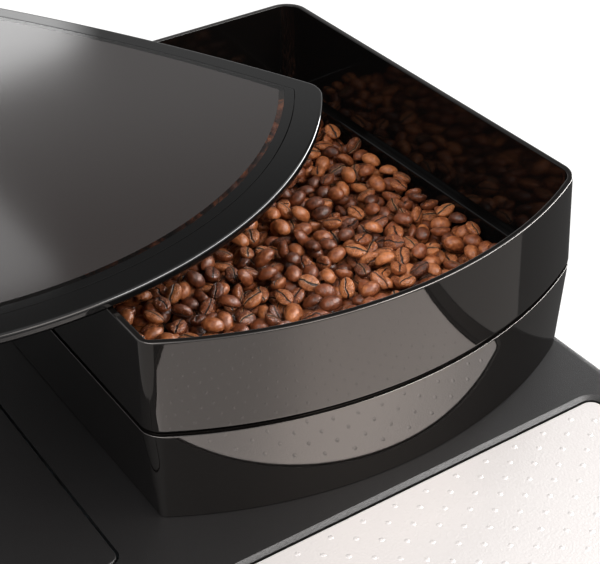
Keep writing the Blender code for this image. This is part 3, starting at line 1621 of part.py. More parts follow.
def make_hoses(root):
    corridor_x = (tank_right - chassis_half_width) / 2
    level = pump_level
    pump_left = pump_x - pump_length / 2 - seat_gap
    pump_right = pump_x + pump_length / 2 + seat_gap
    start_y = port_y + port_radius + seat_gap
    make_hose(root, "inlet_hose", [
        (corridor_x, start_y, level), (corridor_x, pump_y, level), (pump_left, pump_y, level)])
    boiler_top = shelf_top + seat_gap + boiler_height + nipple_length + seat_gap
    cold_x = boiler_x - nipple_offset
    make_hose(root, "pressure_hose", [
        (pump_right, pump_y, level), (cold_x, pump_y, level), (cold_x, pump_y, boiler_top + hose_bend),
        (cold_x, boiler_y, boiler_top + hose_bend), (cold_x, boiler_y, boiler_top)])
    hot_x = brew_nipple_x()
    nipple_end = chassis_wall_rear + chassis_wall + seat_gap
    hot_level = brew_nipple_level()
    make_hose(root, "brew_hose", [
        (hot_x, boiler_y, boiler_top), (hot_x, boiler_y, hot_level), (hot_x, nipple_end, hot_level)])


def stand_on_origin(root):
    """Moves the machine so that its whole outline is centred over the origin, with its feet at zero."""
    bpy.context.view_layer.update()
    spots = []
    for piece in bpy.data.objects:
        if piece.type == "MESH" and not piece.hide_render:
            spots += [piece.matrix_world @ Vector(corner) for corner in piece.bound_box]
            if abs(piece.rotation_euler.z) > 0:
                spots = spots[:-8] + [piece.matrix_world @ vertex.co for vertex in piece.data.vertices]
    middle_x = (min(spot.x for spot in spots) + max(spot.x for spot in spots)) / 2
    middle_y = (min(spot.y for spot in spots) + max(spot.y for spot in spots)) / 2
    root.location = (-middle_x, -middle_y, 0)


def main():
    clear_scene()
    root = machine_root()
    make_feet(root)
    make_base_pan(root)
    make_front_fascia(root)
    make_display_lens(root)
    make_buttons(root)
    make_selector_knob(root)
    make_control_board(root)
    make_side_panels(root)
    make_service_door(root)
    make_rear_panel(root)
    make_power_inlet(root)
    make_power_switch(root)
    make_top_deck(root)
    make_cup_plate(root)
    make_chassis(root)
    make_drip_tray(root)
    make_drip_grate(root)
    make_drip_float(root)
    make_bay_liner(root)
    make_spout(root)
    make_grounds_bin(root)
    make_water_tank(root)
    make_tank_lid(root)
    make_tank_cradle(root)
    make_tank_port(root)
    make_tank_valve(root)
    make_hopper_base(root)
    make_hopper_ring(root)
    make_hopper_funnel(root)
    make_coffee_beans(root)
    make_lid(root)
    make_grinder_housing(root)
    make_lower_burr(root)
    make_upper_burr(root)
    make_burr_carrier(root)
    make_grind_adjuster(root)
    make_drive_gears(root)
    make_grinder_motor(root)
    make_brew_frame(root)
    make_brew_chamber(root)
    make_brew_piston(root)
    make_brew_screw(root)
    make_brew_motor(root)
    make_boiler(root)
    make_pump(root)
    make_hoses(root)
    stand_on_origin(root)


main()
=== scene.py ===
import math

import bmesh
import bpy
import numpy as np
from mathutils import Matrix, Vector


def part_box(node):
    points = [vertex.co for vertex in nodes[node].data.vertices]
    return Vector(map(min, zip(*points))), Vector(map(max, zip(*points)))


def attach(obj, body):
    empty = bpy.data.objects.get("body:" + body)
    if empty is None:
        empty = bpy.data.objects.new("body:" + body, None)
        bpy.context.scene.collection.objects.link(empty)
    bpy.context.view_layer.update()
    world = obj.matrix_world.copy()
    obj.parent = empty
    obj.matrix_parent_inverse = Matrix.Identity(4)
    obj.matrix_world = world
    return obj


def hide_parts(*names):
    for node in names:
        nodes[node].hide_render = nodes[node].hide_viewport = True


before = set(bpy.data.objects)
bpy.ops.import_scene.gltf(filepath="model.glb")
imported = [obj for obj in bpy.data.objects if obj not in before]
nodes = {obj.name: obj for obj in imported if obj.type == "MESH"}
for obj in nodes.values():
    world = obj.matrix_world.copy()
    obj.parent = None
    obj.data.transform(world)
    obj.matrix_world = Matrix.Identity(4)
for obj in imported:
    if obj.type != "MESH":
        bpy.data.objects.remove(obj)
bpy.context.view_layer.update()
mm = 0.001

# the base pan is centred on the machine, so it tells where the machine stands in the frame
panLow, panHigh = (Vector(corner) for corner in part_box("base_pan"))
machineShift = Vector(((panLow.x + panHigh.x) / 2, (panLow.y + panHigh.y) / 2, 0))
toFrame = Matrix.Translation(machineShift) @ Matrix.Diagonal((mm, mm, mm, 1))


# camera: its place in the machine's millimetres, and its angles in degrees
cameraView = {
    "place": (-234.0, -373.8, 691.7),
    "heading": 32.8065,
    "downward": 34.6052,
    "roll": -1.4018,
    "lens": 89.184,
    "nearest": 0.02,
}


def makeCamera():
    heading, dip, roll = (math.radians(cameraView[key]) for key in ("heading", "downward", "roll"))
    ahead = Vector((math.sin(heading) * math.cos(dip), math.cos(heading) * math.cos(dip), -math.sin(dip)))
    level = Vector((math.cos(heading), -math.sin(heading), 0))
    upward = level.cross(ahead)
    right = level * math.cos(roll) + upward * math.sin(roll)
    top = upward * math.cos(roll) - level * math.sin(roll)
    data = bpy.data.cameras.new("camera")
    data.lens = cameraView["lens"]
    data.clip_start = cameraView["nearest"]
    camera = bpy.data.objects.new("camera", data)
    bpy.context.collection.objects.link(camera)
    spot = toFrame @ Vector(cameraView["place"])
    camera.matrix_world = Matrix((
        (right.x, top.x, -ahead.x, spot.x),
        (right.y, top.y, -ahead.y, spot.y),
        (right.z, top.z, -ahead.z, spot.z),
        (0, 0, 0, 1)))
    bpy.context.scene.camera = camera


makeCamera()


# shader helpers: "made" is the material, or the world, whose nodes are wired
def newMaterial(name, colour, **values):
    made = bpy.data.materials.new(name)
    made.use_nodes = True
    shader = shaderOf(made)
    shader.inputs["Base Color"].default_value = (*colour, 1)
    for key, value in values.items():
        shader.inputs[key.replace("_", " ")].default_value = value
    return made


def shaderOf(made):
    return made.node_tree.nodes["Principled BSDF"]


def addNode(made, kind, **values):
    node = made.node_tree.nodes.new(kind)
    for key, value in values.items():
        if hasattr(node, key):
            setattr(node, key, value)
        else:
            node.inputs[key.replace("_", " ")].default_value = value
    return node


def wire(made, outlet, inlet):
    made.node_tree.links.new(outlet, inlet)


def arithmetic(made, operation, first, second=0.0, third=0.0):
    node = addNode(made, "ShaderNodeMath", operation=operation)
    for socket, value in zip(node.inputs, (first, second, third)):
        if isinstance(value, (int, float)):
            socket.default_value = value
        else:
            wire(made, value, socket)
    return node.outputs[0]


def mixed(made, factor, first, second):
    node = addNode(made, "ShaderNodeMix", data_type="RGBA")
    wire(made, factor, node.inputs["Factor"])
    for socket, value in zip([socket for socket in node.inputs if socket.type == "RGBA"], (first, second)):
        if isinstance(value, tuple):
            socket.default_value = (*value, 1)
        else:
            wire(made, value, socket)
    return next(socket for socket in node.outputs if socket.type == "RGBA")


# eases from 0 at low to 1 at high, also where low is the larger of the two
def ranged(made, value, low, high):
    node = addNode(made, "ShaderNodeMapRange", interpolation_type="SMOOTHSTEP")
    node.inputs["From Min"].default_value = low
    node.inputs["From Max"].default_value = high
    wire(made, value, node.inputs["Value"])
    return node.outputs["Result"]


def objectParts(made):
    parts = addNode(made, "ShaderNodeSeparateXYZ")
    wire(made, addNode(made, "ShaderNodeTexCoord").outputs["Object"], parts.inputs[0])
    return parts.outputs


# fine grain in the surface and a slow drift in its shine, for every moulded or metal piece
grainLook = {"speckDetail": 3, "cloudScale": 18, "cloudDetail": 4, "height": 0.0002}


def makeGrainGroup():
    group = bpy.data.node_groups.new("fineGrain", "ShaderNodeTree")
    for name in ("Scale", "Depth", "Base Roughness", "Drift"):
        group.interface.new_socket(name, in_out="INPUT", socket_type="NodeSocketFloat")
    group.interface.new_socket("Normal", in_out="OUTPUT", socket_type="NodeSocketVector")
    group.interface.new_socket("Roughness", in_out="OUTPUT", socket_type="NodeSocketFloat")
    entry, leave, place, speck, cloud, bump, centre, spread = (
        group.nodes.new(kind) for kind in (
            "NodeGroupInput", "NodeGroupOutput", "ShaderNodeTexCoord", "ShaderNodeTexNoise",
            "ShaderNodeTexNoise", "ShaderNodeBump", "ShaderNodeMath", "ShaderNodeMath"))
    speck.inputs["Detail"].default_value = grainLook["speckDetail"]
    cloud.inputs["Scale"].default_value = grainLook["cloudScale"]
    cloud.inputs["Detail"].default_value = grainLook["cloudDetail"]
    bump.inputs["Distance"].default_value = grainLook["height"]
    centre.operation = "SUBTRACT"
    centre.inputs[1].default_value = 0.5
    spread.operation = "MULTIPLY_ADD"
    for outlet, inlet in (
            (place.outputs["Object"], speck.inputs["Vector"]),
            (place.outputs["Object"], cloud.inputs["Vector"]),
            (entry.outputs["Scale"], speck.inputs["Scale"]),
            (entry.outputs["Depth"], bump.inputs["Strength"]),
            (speck.outputs["Fac"], bump.inputs["Height"]),
            (bump.outputs["Normal"], leave.inputs["Normal"]),
            (cloud.outputs["Fac"], centre.inputs[0]),
            (centre.outputs[0], spread.inputs[0]),
            (entry.outputs["Drift"], spread.inputs[1]),
            (entry.outputs["Base Roughness"], spread.inputs[2]),
            (spread.outputs[0], leave.inputs["Roughness"])):
        group.links.new(outlet, inlet)
    return group


fineGrain = makeGrainGroup()


def grained(name, colour, scale, depth, roughness, drift, **values):
    made = newMaterial(name, colour, **values)
    node = addNode(made, "ShaderNodeGroup", node_tree=fineGrain)
    for key, value in (("Scale", scale), ("Depth", depth), ("Base Roughness", roughness), ("Drift", drift)):
        node.inputs[key].default_value = value
    wire(made, node.outputs["Normal"], shaderOf(made).inputs["Normal"])
    wire(made, node.outputs["Roughness"], shaderOf(made).inputs["Roughness"])
    return made


# finishes: colour, then the grain's scale and depth, the roughness and its drift
warmGlint = (1.0, 0.935, 0.89, 1.0)
warmBlack = (0.0035, 0.0031, 0.0030)
glossBlack = grained("glossBlack", (0.0035, 0.0034, 0.0035), 350, 0.02, 0.05, 0.03, IOR=1.48)
ringBlack = grained("ringBlack", warmBlack, 350, 0.02, 0.04, 0.03, IOR=1.76, Specular_Tint=warmGlint)
baseBlack = grained("baseBlack", warmBlack, 350, 0.02, 0.04, 0.03, IOR=2.0, Specular_Tint=warmGlint)
innerBlack = grained("innerBlack", warmBlack, 350, 0.02, 0.07, 0.04, IOR=1.32)
lidBlack = grained("lidBlack", (0.0055, 0.0055, 0.0056), 350, 0.02, 0.06, 0.03, IOR=1.42)
matteBlack = grained("matteBlack", (0.006, 0.0056, 0.0058), 2600, 0.6, 0.42, 0.08, IOR=1.43)
darkPlastic = grained("darkPlastic", (0.04, 0.04, 0.044), 1800, 0.3, 0.5, 0.1)
plateSteel = grained("plateSteel", (0.735, 0.715, 0.712), 1100, 0.45, 0.34, 0.05, Metallic=0.3)
brightSteel = grained("brightSteel", (0.72, 0.71, 0.70), 1200, 0.06, 0.24, 0.08, Metallic=1.0)
castGrey = grained("castGrey", (0.42, 0.42, 0.43), 900, 0.4, 0.4, 0.1, Metallic=1.0)
softRubber = grained("softRubber", (0.025, 0.025, 0.025), 1400, 0.4, 0.75, 0.1)
floatRed = grained("floatRed", (0.5, 0.03, 0.03), 900, 0.05, 0.3, 0.05)
milkNylon = grained("milkNylon", (0.72, 0.71, 0.66), 1200, 0.15, 0.42, 0.08)
boardGreen = grained("boardGreen", (0.02, 0.14, 0.06), 700, 0.1, 0.35, 0.1)
greyHose = grained("greyHose", (0.42, 0.42, 0.42), 800, 0.1, 0.45, 0.1)
tankClear = grained("tankClear", (0.62, 0.70, 0.74), 500, 0.02, 0.06, 0.03, Transmission_Weight=1.0, IOR=1.45)
lensDark = grained("lensDark", (0.004, 0.004, 0.005), 300, 0.01, 0.05, 0.02, IOR=1.6)
smokedGlass = grained("smokedGlass", (0.36, 0.30, 0.27), 300, 0.01, 0.03, 0.02, Transmission_Weight=1.0,
                      IOR=1.5)
# painted shade: an opaque dark satin field in place of the beans seen, in the lid's shadow, through the
# smoked window
paintedShadeField = grained("paintedShadeField", (0.028, 0.0245, 0.024), 300, 0.01, 0.10, 0.03, IOR=1.65)
beanShade = grained("beanShade", (0.012, 0.006, 0.004), 900, 0.5, 0.7, 0.1)
finishOfSlot = {
    "gloss_black": glossBlack, "matte_black": matteBlack, "dark_plastic": darkPlastic, "steel": brightSteel,
    "grey_metal": castGrey, "clear_tint": tankClear, "smoked_window": lensDark, "rubber": softRubber,
    "red_plastic": floatRed, "white_nylon": milkNylon, "circuit_green": boardGreen, "hose_rubber": greyHose,
    "roasted_bean": beanShade,
}


# roasted coffee: browns that differ from bean to bean, a crease on each flat side whose near-black line is
# painted shade of its slit, and a wrinkled skin
beanLook = {
    "dark": (0.050, 0.014, 0.006), "middle": (0.225, 0.062, 0.021), "pale": (0.60, 0.215, 0.074),
    # the crease colour is painted shade: the dark of the shadow deep in each bean's slit
    "crease": (0.017, 0.007, 0.004), "chaff": (0.42, 0.21, 0.10), "shine": 1.47,
    "roughness": 0.40, "roughDrop": 0.13, "roughSpread": 0.3,
    "mottleScale": 520.0, "mottleDetail": 5.0, "wanderScale": 260.0,
    "wrinkleScale": 900.0, "wrinkleDetail": 3.0, "wrinkleTwist": 1.2,
    "mottleShare": 1.0, "toneShare": 0.72, "darker": 0.385, "ridges": (0.5, 0.66), "ridgeShade": 0.42,
    "wander": 0.34, "creaseEdge": (0.02, 0.07), "chaffEdge": (0.05, 0.13), "chaffOften": (0.35, 0.75),
    "bumpStrength": 1.0, "bumpHeight": 0.0007, "mottleRise": 0.7, "ridgeRise": 0.45,
}


def makeBeanFinish():
    look = beanLook
    made = newMaterial("roastedBean", look["middle"], Roughness=look["roughness"], IOR=look["shine"])
    place, tone = (addNode(made, "ShaderNodeUVMap", uv_map=name) for name in ("beanPlace", "beanTone"))
    alongAcross, toneParts = (addNode(made, "ShaderNodeSeparateXYZ") for _ in range(2))
    wire(made, place.outputs["UV"], alongAcross.inputs[0])
    wire(made, tone.outputs["UV"], toneParts.inputs[0])
    skin = addNode(made, "ShaderNodeTexCoord").outputs["Object"]
    mottle = addNode(made, "ShaderNodeTexNoise", Scale=look["mottleScale"], Detail=look["mottleDetail"])
    wander = addNode(made, "ShaderNodeTexNoise", Scale=look["wanderScale"])
    wrinkle = addNode(made, "ShaderNodeTexNoise", Scale=look["wrinkleScale"], Detail=look["wrinkleDetail"],
                      Distortion=look["wrinkleTwist"])
    for noise in (mottle, wander, wrinkle):
        wire(made, skin, noise.inputs["Vector"])
    # the round side's map lies beyond 1, so one step tells the sides apart
    roundSide = arithmetic(made, "GREATER_THAN", alongAcross.outputs["X"], 1.0)
    flatSide = arithmetic(made, "SUBTRACT", 1.0, roundSide)
    ramp = addNode(made, "ShaderNodeValToRGB")
    ramp.color_ramp.elements[0].color = (*look["dark"], 1)
    ramp.color_ramp.elements[1].color = (*look["pale"], 1)
    ramp.color_ramp.elements.new(0.5).color = (*look["middle"], 1)
    toneShade = arithmetic(made, "MULTIPLY", toneParts.outputs["X"], look["toneShare"])
    shade = arithmetic(made, "MULTIPLY_ADD", mottle.outputs["Fac"], look["mottleShare"], toneShade)
    shade = arithmetic(made, "SUBTRACT", shade, look["darker"])
    ridges = arithmetic(made, "MULTIPLY", ranged(made, wrinkle.outputs["Fac"], *look["ridges"]), flatSide)
    wire(made, arithmetic(made, "MULTIPLY_ADD", ridges, look["ridgeShade"], shade), ramp.inputs["Fac"])
    # how far the spot is from the crease, which wanders about the middle of the flat side
    offLine = arithmetic(made, "MULTIPLY_ADD", wander.outputs["Fac"], look["wander"],
                         alongAcross.outputs["Y"])
    offLine = arithmetic(made, "ABSOLUTE", arithmetic(made, "SUBTRACT", offLine, 0.5 + look["wander"] / 2))
    offCrease = arithmetic(made, "MAXIMUM", ranged(made, offLine, *look["creaseEdge"]), roundSide)
    offChaff = arithmetic(made, "MAXIMUM", ranged(made, offLine, *look["chaffEdge"]), roundSide)
    hasChaff = ranged(made, toneParts.outputs["Y"], *look["chaffOften"])
    bare = arithmetic(made, "MAXIMUM", offChaff, arithmetic(made, "SUBTRACT", 1.0, hasChaff))
    skinColour = mixed(made, bare, look["chaff"], ramp.outputs["Color"])
    # painted shade: near the crease line the skin turns to the crease colour, standing in for the shadow
    # inside the slit
    wire(made, mixed(made, offCrease, look["crease"], skinColour), shaderOf(made).inputs["Base Color"])
    wire(made, arithmetic(made, "MULTIPLY_ADD", mottle.outputs["Fac"], look["roughSpread"],
                          look["roughness"] - look["roughDrop"]), shaderOf(made).inputs["Roughness"])
    bump = addNode(made, "ShaderNodeBump", Strength=look["bumpStrength"], Distance=look["bumpHeight"])
    height = arithmetic(made, "MULTIPLY_ADD", mottle.outputs["Fac"], look["mottleRise"], offCrease)
    wire(made, arithmetic(made, "MULTIPLY_ADD", ridges, look["ridgeRise"], height), bump.inputs["Height"])
    wire(made, bump.outputs["Normal"], shaderOf(made).inputs["Normal"])
    return made


roastedBean = makeBeanFinish()
print("finishes made")


# mesh helpers, in the machine's millimetres
meshCare = {"joined": 1e-4, "corner": 8, "frontCuts": 48, "sideCuts": 20, "smallestCorner": 0.6, "near": 1e-3,
            "bridgeLift": 20, "mostOfSide": 0.49}


def finished(bm, name, finish, body, replaces=(), sharpAngle=35, toPlace=toFrame,
             joined=meshCare["joined"]):
    bmesh.ops.remove_doubles(bm, verts=bm.verts, dist=joined)
    bmesh.ops.recalc_face_normals(bm, faces=bm.faces)
    bmesh.ops.transform(bm, matrix=toPlace, verts=bm.verts)
    mesh = bpy.data.meshes.new(name)
    bm.to_mesh(mesh)
    bm.free()
    mesh.shade_smooth()
    mesh.set_sharp_from_angle(angle=math.radians(sharpAngle))
    mesh.materials.append(finish)
    piece = bpy.data.objects.new(name, mesh)
    bpy.context.collection.objects.link(piece)
    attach(piece, body)
    if replaces:
        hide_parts(*replaces)
    return piece


# joins two closed loops with faces; the second is held well apart meanwhile, so that level loops pair up
def bridge(bm, first, second):
    near, far = ({vert for edge in edges for vert in edge.verts} for edges in (first, second))
    rises = max(vert.co.z for vert in far) >= max(vert.co.z for vert in near)
    lift = Vector((0, 0, meshCare["bridgeLift"] if rises else -meshCare["bridgeLift"]))
    bmesh.ops.translate(bm, verts=list(far), vec=lift)
    bmesh.ops.bridge_loops(bm, edges=list(first) + list(second))
    bmesh.ops.translate(bm, verts=list(far), vec=-lift)


# a closed flat outline: a rectangle with rounded corners whose front may bow out and whose sides may bulge
def outline(plan, side, level, front=None):
    front = side if front is None else front
    left, right, rear = plan["left"] + side, plan["right"] - side, plan["rear"] - side
    middle = (left + right) / 2
    bowed = "bowRadius" in plan

    def bowAt(x):
        reach, across = plan["bowRadius"] - front, x - plan["bowCentre"][0]
        return plan["bowCentre"][1] - math.sqrt(reach ** 2 - across ** 2)

    nearLeft, nearRight = (bowAt(left), bowAt(right)) if bowed else (plan["front"] + front,) * 2

    def chordAt(x):
        return nearLeft + (nearRight - nearLeft) * (x - left) / (right - left)

    bm = bmesh.new()
    corners = ((left, nearLeft), (right, nearRight), (right, rear), (left, rear))
    verts = [bm.verts.new((x, y, level)) for x, y in corners]
    bm.faces.new(verts)
    leftCorner = plan.get("leftCorner", plan["frontCorner"])
    for group, corner in ((verts[:1], leftCorner), (verts[1:2], plan["frontCorner"]),
                          (verts[2:], plan["rearCorner"])):
        bmesh.ops.bevel(bm, geom=group, offset=max(corner - side, meshCare["smallestCorner"]),
                        segments=meshCare["corner"], profile=0.5, affect="VERTICES", material=-1,
                        offset_type="OFFSET")
    longest = sorted(bm.edges, key=lambda edge: -edge.calc_length())[:4]
    frontEdge = min(longest, key=lambda edge: edge.verts[0].co.y + edge.verts[1].co.y)
    sides = [edge for edge in longest if abs(edge.verts[0].co.x - edge.verts[1].co.x) < meshCare["near"]]
    if bowed:
        bmesh.ops.subdivide_edges(bm, edges=[frontEdge], cuts=meshCare["frontCuts"])
    bulge = plan.get("bulge", 0)
    for edge in sides if bulge else ():
        bmesh.ops.subdivide_edges(bm, edges=[edge], cuts=meshCare["sideCuts"])
    for vert in bm.verts:
        x, y = vert.co.x, vert.co.y
        if bulge:
            share = 2 * (y - chordAt(x)) / (rear - chordAt(x)) - 1
            vert.co.x += (x - middle) / (right - middle) * bulge * (1 - share * share)
        if bowed and y < chordAt(x) + plan["frontCorner"] + meshCare["near"]:
            vert.co.y += bowAt(min(max(x, left), right)) - chordAt(x)
    bmesh.ops.delete(bm, geom=list(bm.faces), context="FACES_ONLY")
    mesh = bpy.data.meshes.new("outline")
    bm.to_mesh(mesh)
    bm.free()
    return mesh


def loopOf(bm, plan, side, level, front=None):
    shape = outline(plan, side, level, front)
    before = len(bm.verts)
    bm.from_mesh(shape)
    bpy.data.meshes.remove(shape)
    bm.verts.ensure_lookup_table()
    return list({edge for vert in bm.verts[before:] for edge in vert.link_edges})


# rounds the corners of a wall's profile: each point is inset, level and how much to round
def softened(profile, steps=4, flatBeside=0.25):
    points = []
    for index, (inset, level, reach) in enumerate(profile):
        here = Vector((inset, level))
        if not reach or index in (0, len(profile) - 1):
            points.append(here)
            continue
        before = Vector(profile[index - 1][:2]) - here
        after = Vector(profile[index + 1][:2]) - here
        reach = min(reach, before.length * meshCare["mostOfSide"], after.length * meshCare["mostOfSide"])
        towards, away = before.normalized(), after.normalized()
        start, end = here + towards * reach, here + away * reach
        if before.length > reach + 3 * flatBeside:
            points.append(start + towards * flatBeside)
        for step in range(steps + 1):
            share = step / steps
            points.append(start * (1 - share) ** 2 + here * 2 * share * (1 - share) + end * share ** 2)
        if after.length > reach + 3 * flatBeside:
            points.append(end + away * flatBeside)
    return points


def walls(bm, plan, profile, closed=False):
    loops = [loopOf(bm, plan, inset, level) for inset, level in profile]
    pairs = list(zip(loops, loops[1:]))
    if closed:
        pairs.append((loops[-1], loops[0]))
    for first, second in pairs:
        bridge(bm, first, second)
    return loops


def capped(bm, edges):
    bmesh.ops.contextual_create(bm, geom=list(edges))


# takes other closed meshes out of the first
def carved(bm, cutters):
    pieces = []
    for index, source in enumerate([bm] + cutters):
        bmesh.ops.remove_doubles(source, verts=source.verts, dist=meshCare["joined"])
        bmesh.ops.recalc_face_normals(source, faces=source.faces)
        mesh = bpy.data.meshes.new(f"carving{index}")
        source.to_mesh(mesh)
        source.free()
        piece = bpy.data.objects.new(f"carving{index}", mesh)
        bpy.context.collection.objects.link(piece)
        pieces.append(piece)
    for cutter in pieces[1:]:
        step = pieces[0].modifiers.new(cutter.name, "BOOLEAN")
        step.object = cutter
        step.operation = "DIFFERENCE"
        step.solver = "EXACT"
    shown = pieces[0].evaluated_get(bpy.context.evaluated_depsgraph_get())
    result = bmesh.new()
    result.from_mesh(shown.to_mesh())
    for piece in pieces:
        bpy.data.objects.remove(piece)
    return result


def plannedBlock(plan, profile):
    bm = bmesh.new()
    loops = walls(bm, plan, profile)
    capped(bm, loops[0])
    capped(bm, loops[-1])
    return bm


def rounded(left, right, front, rear, corner):
    return {"left": left, "right": right, "front": front, "rear": rear,
            "frontCorner": corner, "rearCorner": corner}


# bean hopper: a flared ring on a base, with a groove between them, and the funnel that hangs in both;
# insets are measured inwards from the hopper's outline, and levels from the table
hopper = {
    "left": -58.5, "right": 141.5, "rear": 209.5, "bowCentre": (41.5, 161.193), "bowRadius": 189.693,
    "frontCorner": 7.0, "leftCorner": 3.5, "rearCorner": 11.0,
}
ringWall = {
    "skirt": 339.3, "foot": 346.0, "rim": 385.0, "skirtInset": 0.7, "flare": -1.6, "wall": 2.6,
    "innerFoot": 2.2, "skirtRound": 0.2, "footRound": 0.7, "rimRound": 0.5, "middle": (41.5, 90.5965),
    "inwardFrom": 0.2,
}
baseWall = {
    "bottom": 302.3, "top": 344.0, "lipTop": 337.0, "lipBottom": 333.0, "footInset": 1.6, "topInset": -1.6,
    "mouth": 0.4, "lip": 3.4, "underLip": 1.76, "innerFoot": 4.0, "topRound": 0.3, "mouthRound": 0.4,
}
funnelShape = {
    "ledge": 339.0, "thickness": 1.7, "inner": 5.4, "wellFloor": 320.6, "edge": 0.7, "edgeRound": 0.3,
    "ledgeRound": 0.8, "wellRound": 1.5, "slope": (12, 6), "shell": 1.6, "floorShell": 0.8,
    "throatCentre": (41.5, 105), "throatTop": 273.0, "throatBottom": 252.0, "throatRadius": 14.5, "wall": 2.0,
    "outerLift": 1.9,
}


def makeHopperRing():
    bm = bmesh.new()
    w = ringWall
    profile = softened([
        (w["skirtInset"], w["skirt"], 0), (w["skirtInset"], w["foot"], w["skirtRound"]),
        (w["flare"], w["foot"], w["footRound"]), (0, w["rim"], w["rimRound"]),
        (w["wall"], w["rim"], w["rimRound"]), (w["innerFoot"], w["skirt"], 0)])
    walls(bm, hopper, profile, closed=True)
    ring = finished(bm, "hopperRing", ringBlack, "housing", ["hopper_ring"])
    # the side towards the beans mirrors less
    ring.data.materials.append(innerBlack)
    middle = toFrame @ Vector((*w["middle"], 0))
    for face in ring.data.polygons:
        inward = middle - face.center
        inward.z = 0
        face.material_index = 1 if face.normal.dot(inward.normalized()) > w["inwardFrom"] else 0


def makeHopperBase():
    bm = bmesh.new()
    w = baseWall
    profile = softened([
        (w["footInset"], w["bottom"], 0), (w["topInset"], w["top"], w["topRound"]),
        (w["mouth"], w["top"], w["mouthRound"]), (w["mouth"], w["lipTop"], 0), (w["lip"], w["lipTop"], 0),
        (w["lip"], w["lipBottom"], 0), (w["underLip"], w["lipBottom"], 0), (w["innerFoot"], w["bottom"], 0)])
    walls(bm, hopper, profile, closed=True)
    finished(bm, "hopperBase", baseBlack, "housing", ["hopper_base"])


def makeHopperFunnel():
    bm = bmesh.new()
    f = funnelShape
    underLedge = f["ledge"] - f["thickness"]
    inwards, down = f["slope"]
    inner = softened([
        (f["edge"], underLedge, 0), (f["edge"], f["ledge"], f["edgeRound"]),
        (f["inner"], f["ledge"], f["ledgeRound"]), (f["inner"], f["wellFloor"], f["wellRound"]),
        (f["inner"] + inwards, f["wellFloor"] - down, 0)])[:-1]
    loops = walls(bm, hopper, inner)
    outside = f["inner"] - f["shell"]
    outerLoops = walls(bm, hopper, [(outside, f["wellFloor"] - f["floorShell"]), (outside, underLedge)])
    bridge(bm, outerLoops[-1], loops[0])
    rings = []
    for radius, level in ((f["throatRadius"], f["throatTop"]), (f["throatRadius"], f["throatBottom"]),
                          (f["throatRadius"] + f["wall"], f["throatBottom"]),
                          (f["throatRadius"] + f["wall"], f["throatTop"] - f["outerLift"])):
        made = bmesh.ops.create_circle(bm, segments=len(loops[0]), radius=radius,
                                       matrix=Matrix.Translation((*f["throatCentre"], level)))["verts"]
        rings.append(list({edge for vert in made for edge in vert.link_edges}))
    chain = [loops[-1]] + rings + [outerLoops[0]]
    for first, second in zip(chain, chain[1:]):
        bridge(bm, first, second)
    finished(bm, "hopperFunnel", innerBlack, "housing", ["hopper_funnel"])


makeHopperRing()
makeHopperBase()
makeHopperFunnel()
print("hopper made")


# lid: a flat frame round a smoked window, turned open about its hinge
lid = {
    "left": -88.5, "right": 141.5, "rear": 209.5, "bowCentre": (41.5, 161.193), "bowRadius": 189.693,
    "bulge": 5.0, "frontCorner": 6.5, "rearCorner": 6.5,
}
lidShape = {
    "under": 385.3, "top": 389.8, "lowerInset": 1.2, "lowerRise": 1.4, "lowerRound": 0.5, "edge": 2.1,
    "crownFlat": 0.2, "sideBand": 8.5, "frontBand": 12.2, "innerFlat": 0.5, "innerEdge": 0.05, "rebate": 2.0,
    "shelf": 387.2, "windowUnder": 387.5, "windowEdge": 0.08, "gap": 0.3, "printed": (0.8, 4.4),
    "clearStrip": 2.4, "hinge": (-120.0, -36.7), "open": 27.25,
}


def lidPlace():
    hinge = Vector((*lidShape["hinge"], 0))
    swing = Matrix.Rotation(math.radians(lidShape["open"]), 4, "Z")
    return toFrame @ Matrix.Translation(hinge) @ swing @ Matrix.Translation(-hinge)


def makeLidFrame():
    bm = bmesh.new()
    s = lidShape
    band, top = s["sideBand"], s["top"]
    outer = softened([
        (s["lowerInset"], s["under"], 0), (0, s["under"] + s["lowerRise"], s["lowerRound"]),
        (0, top, s["edge"]), (s["edge"] * 2 + s["crownFlat"], top, 0)], steps=7, flatBeside=0.15)
    outerLoops = walls(bm, lid, outer)
    deeper = s["frontBand"] - band
    inner = [(band - s["innerFlat"], top), (band - s["innerEdge"], top), (band, top - s["innerEdge"]),
             (band, s["shelf"]), (band + s["rebate"], s["shelf"]), (band + s["rebate"], s["under"])]
    innerLoops = [loopOf(bm, lid, inset, level, front=inset + deeper) for inset, level in inner]
    chain = outerLoops[-1:] + innerLoops + outerLoops[:1]
    for first, second in zip(chain, chain[1:]):
        bridge(bm, first, second)
    finished(bm, "lidFrame", lidBlack, "hopper_lid", ["lid_frame"], sharpAngle=30,
             toPlace=lidPlace())


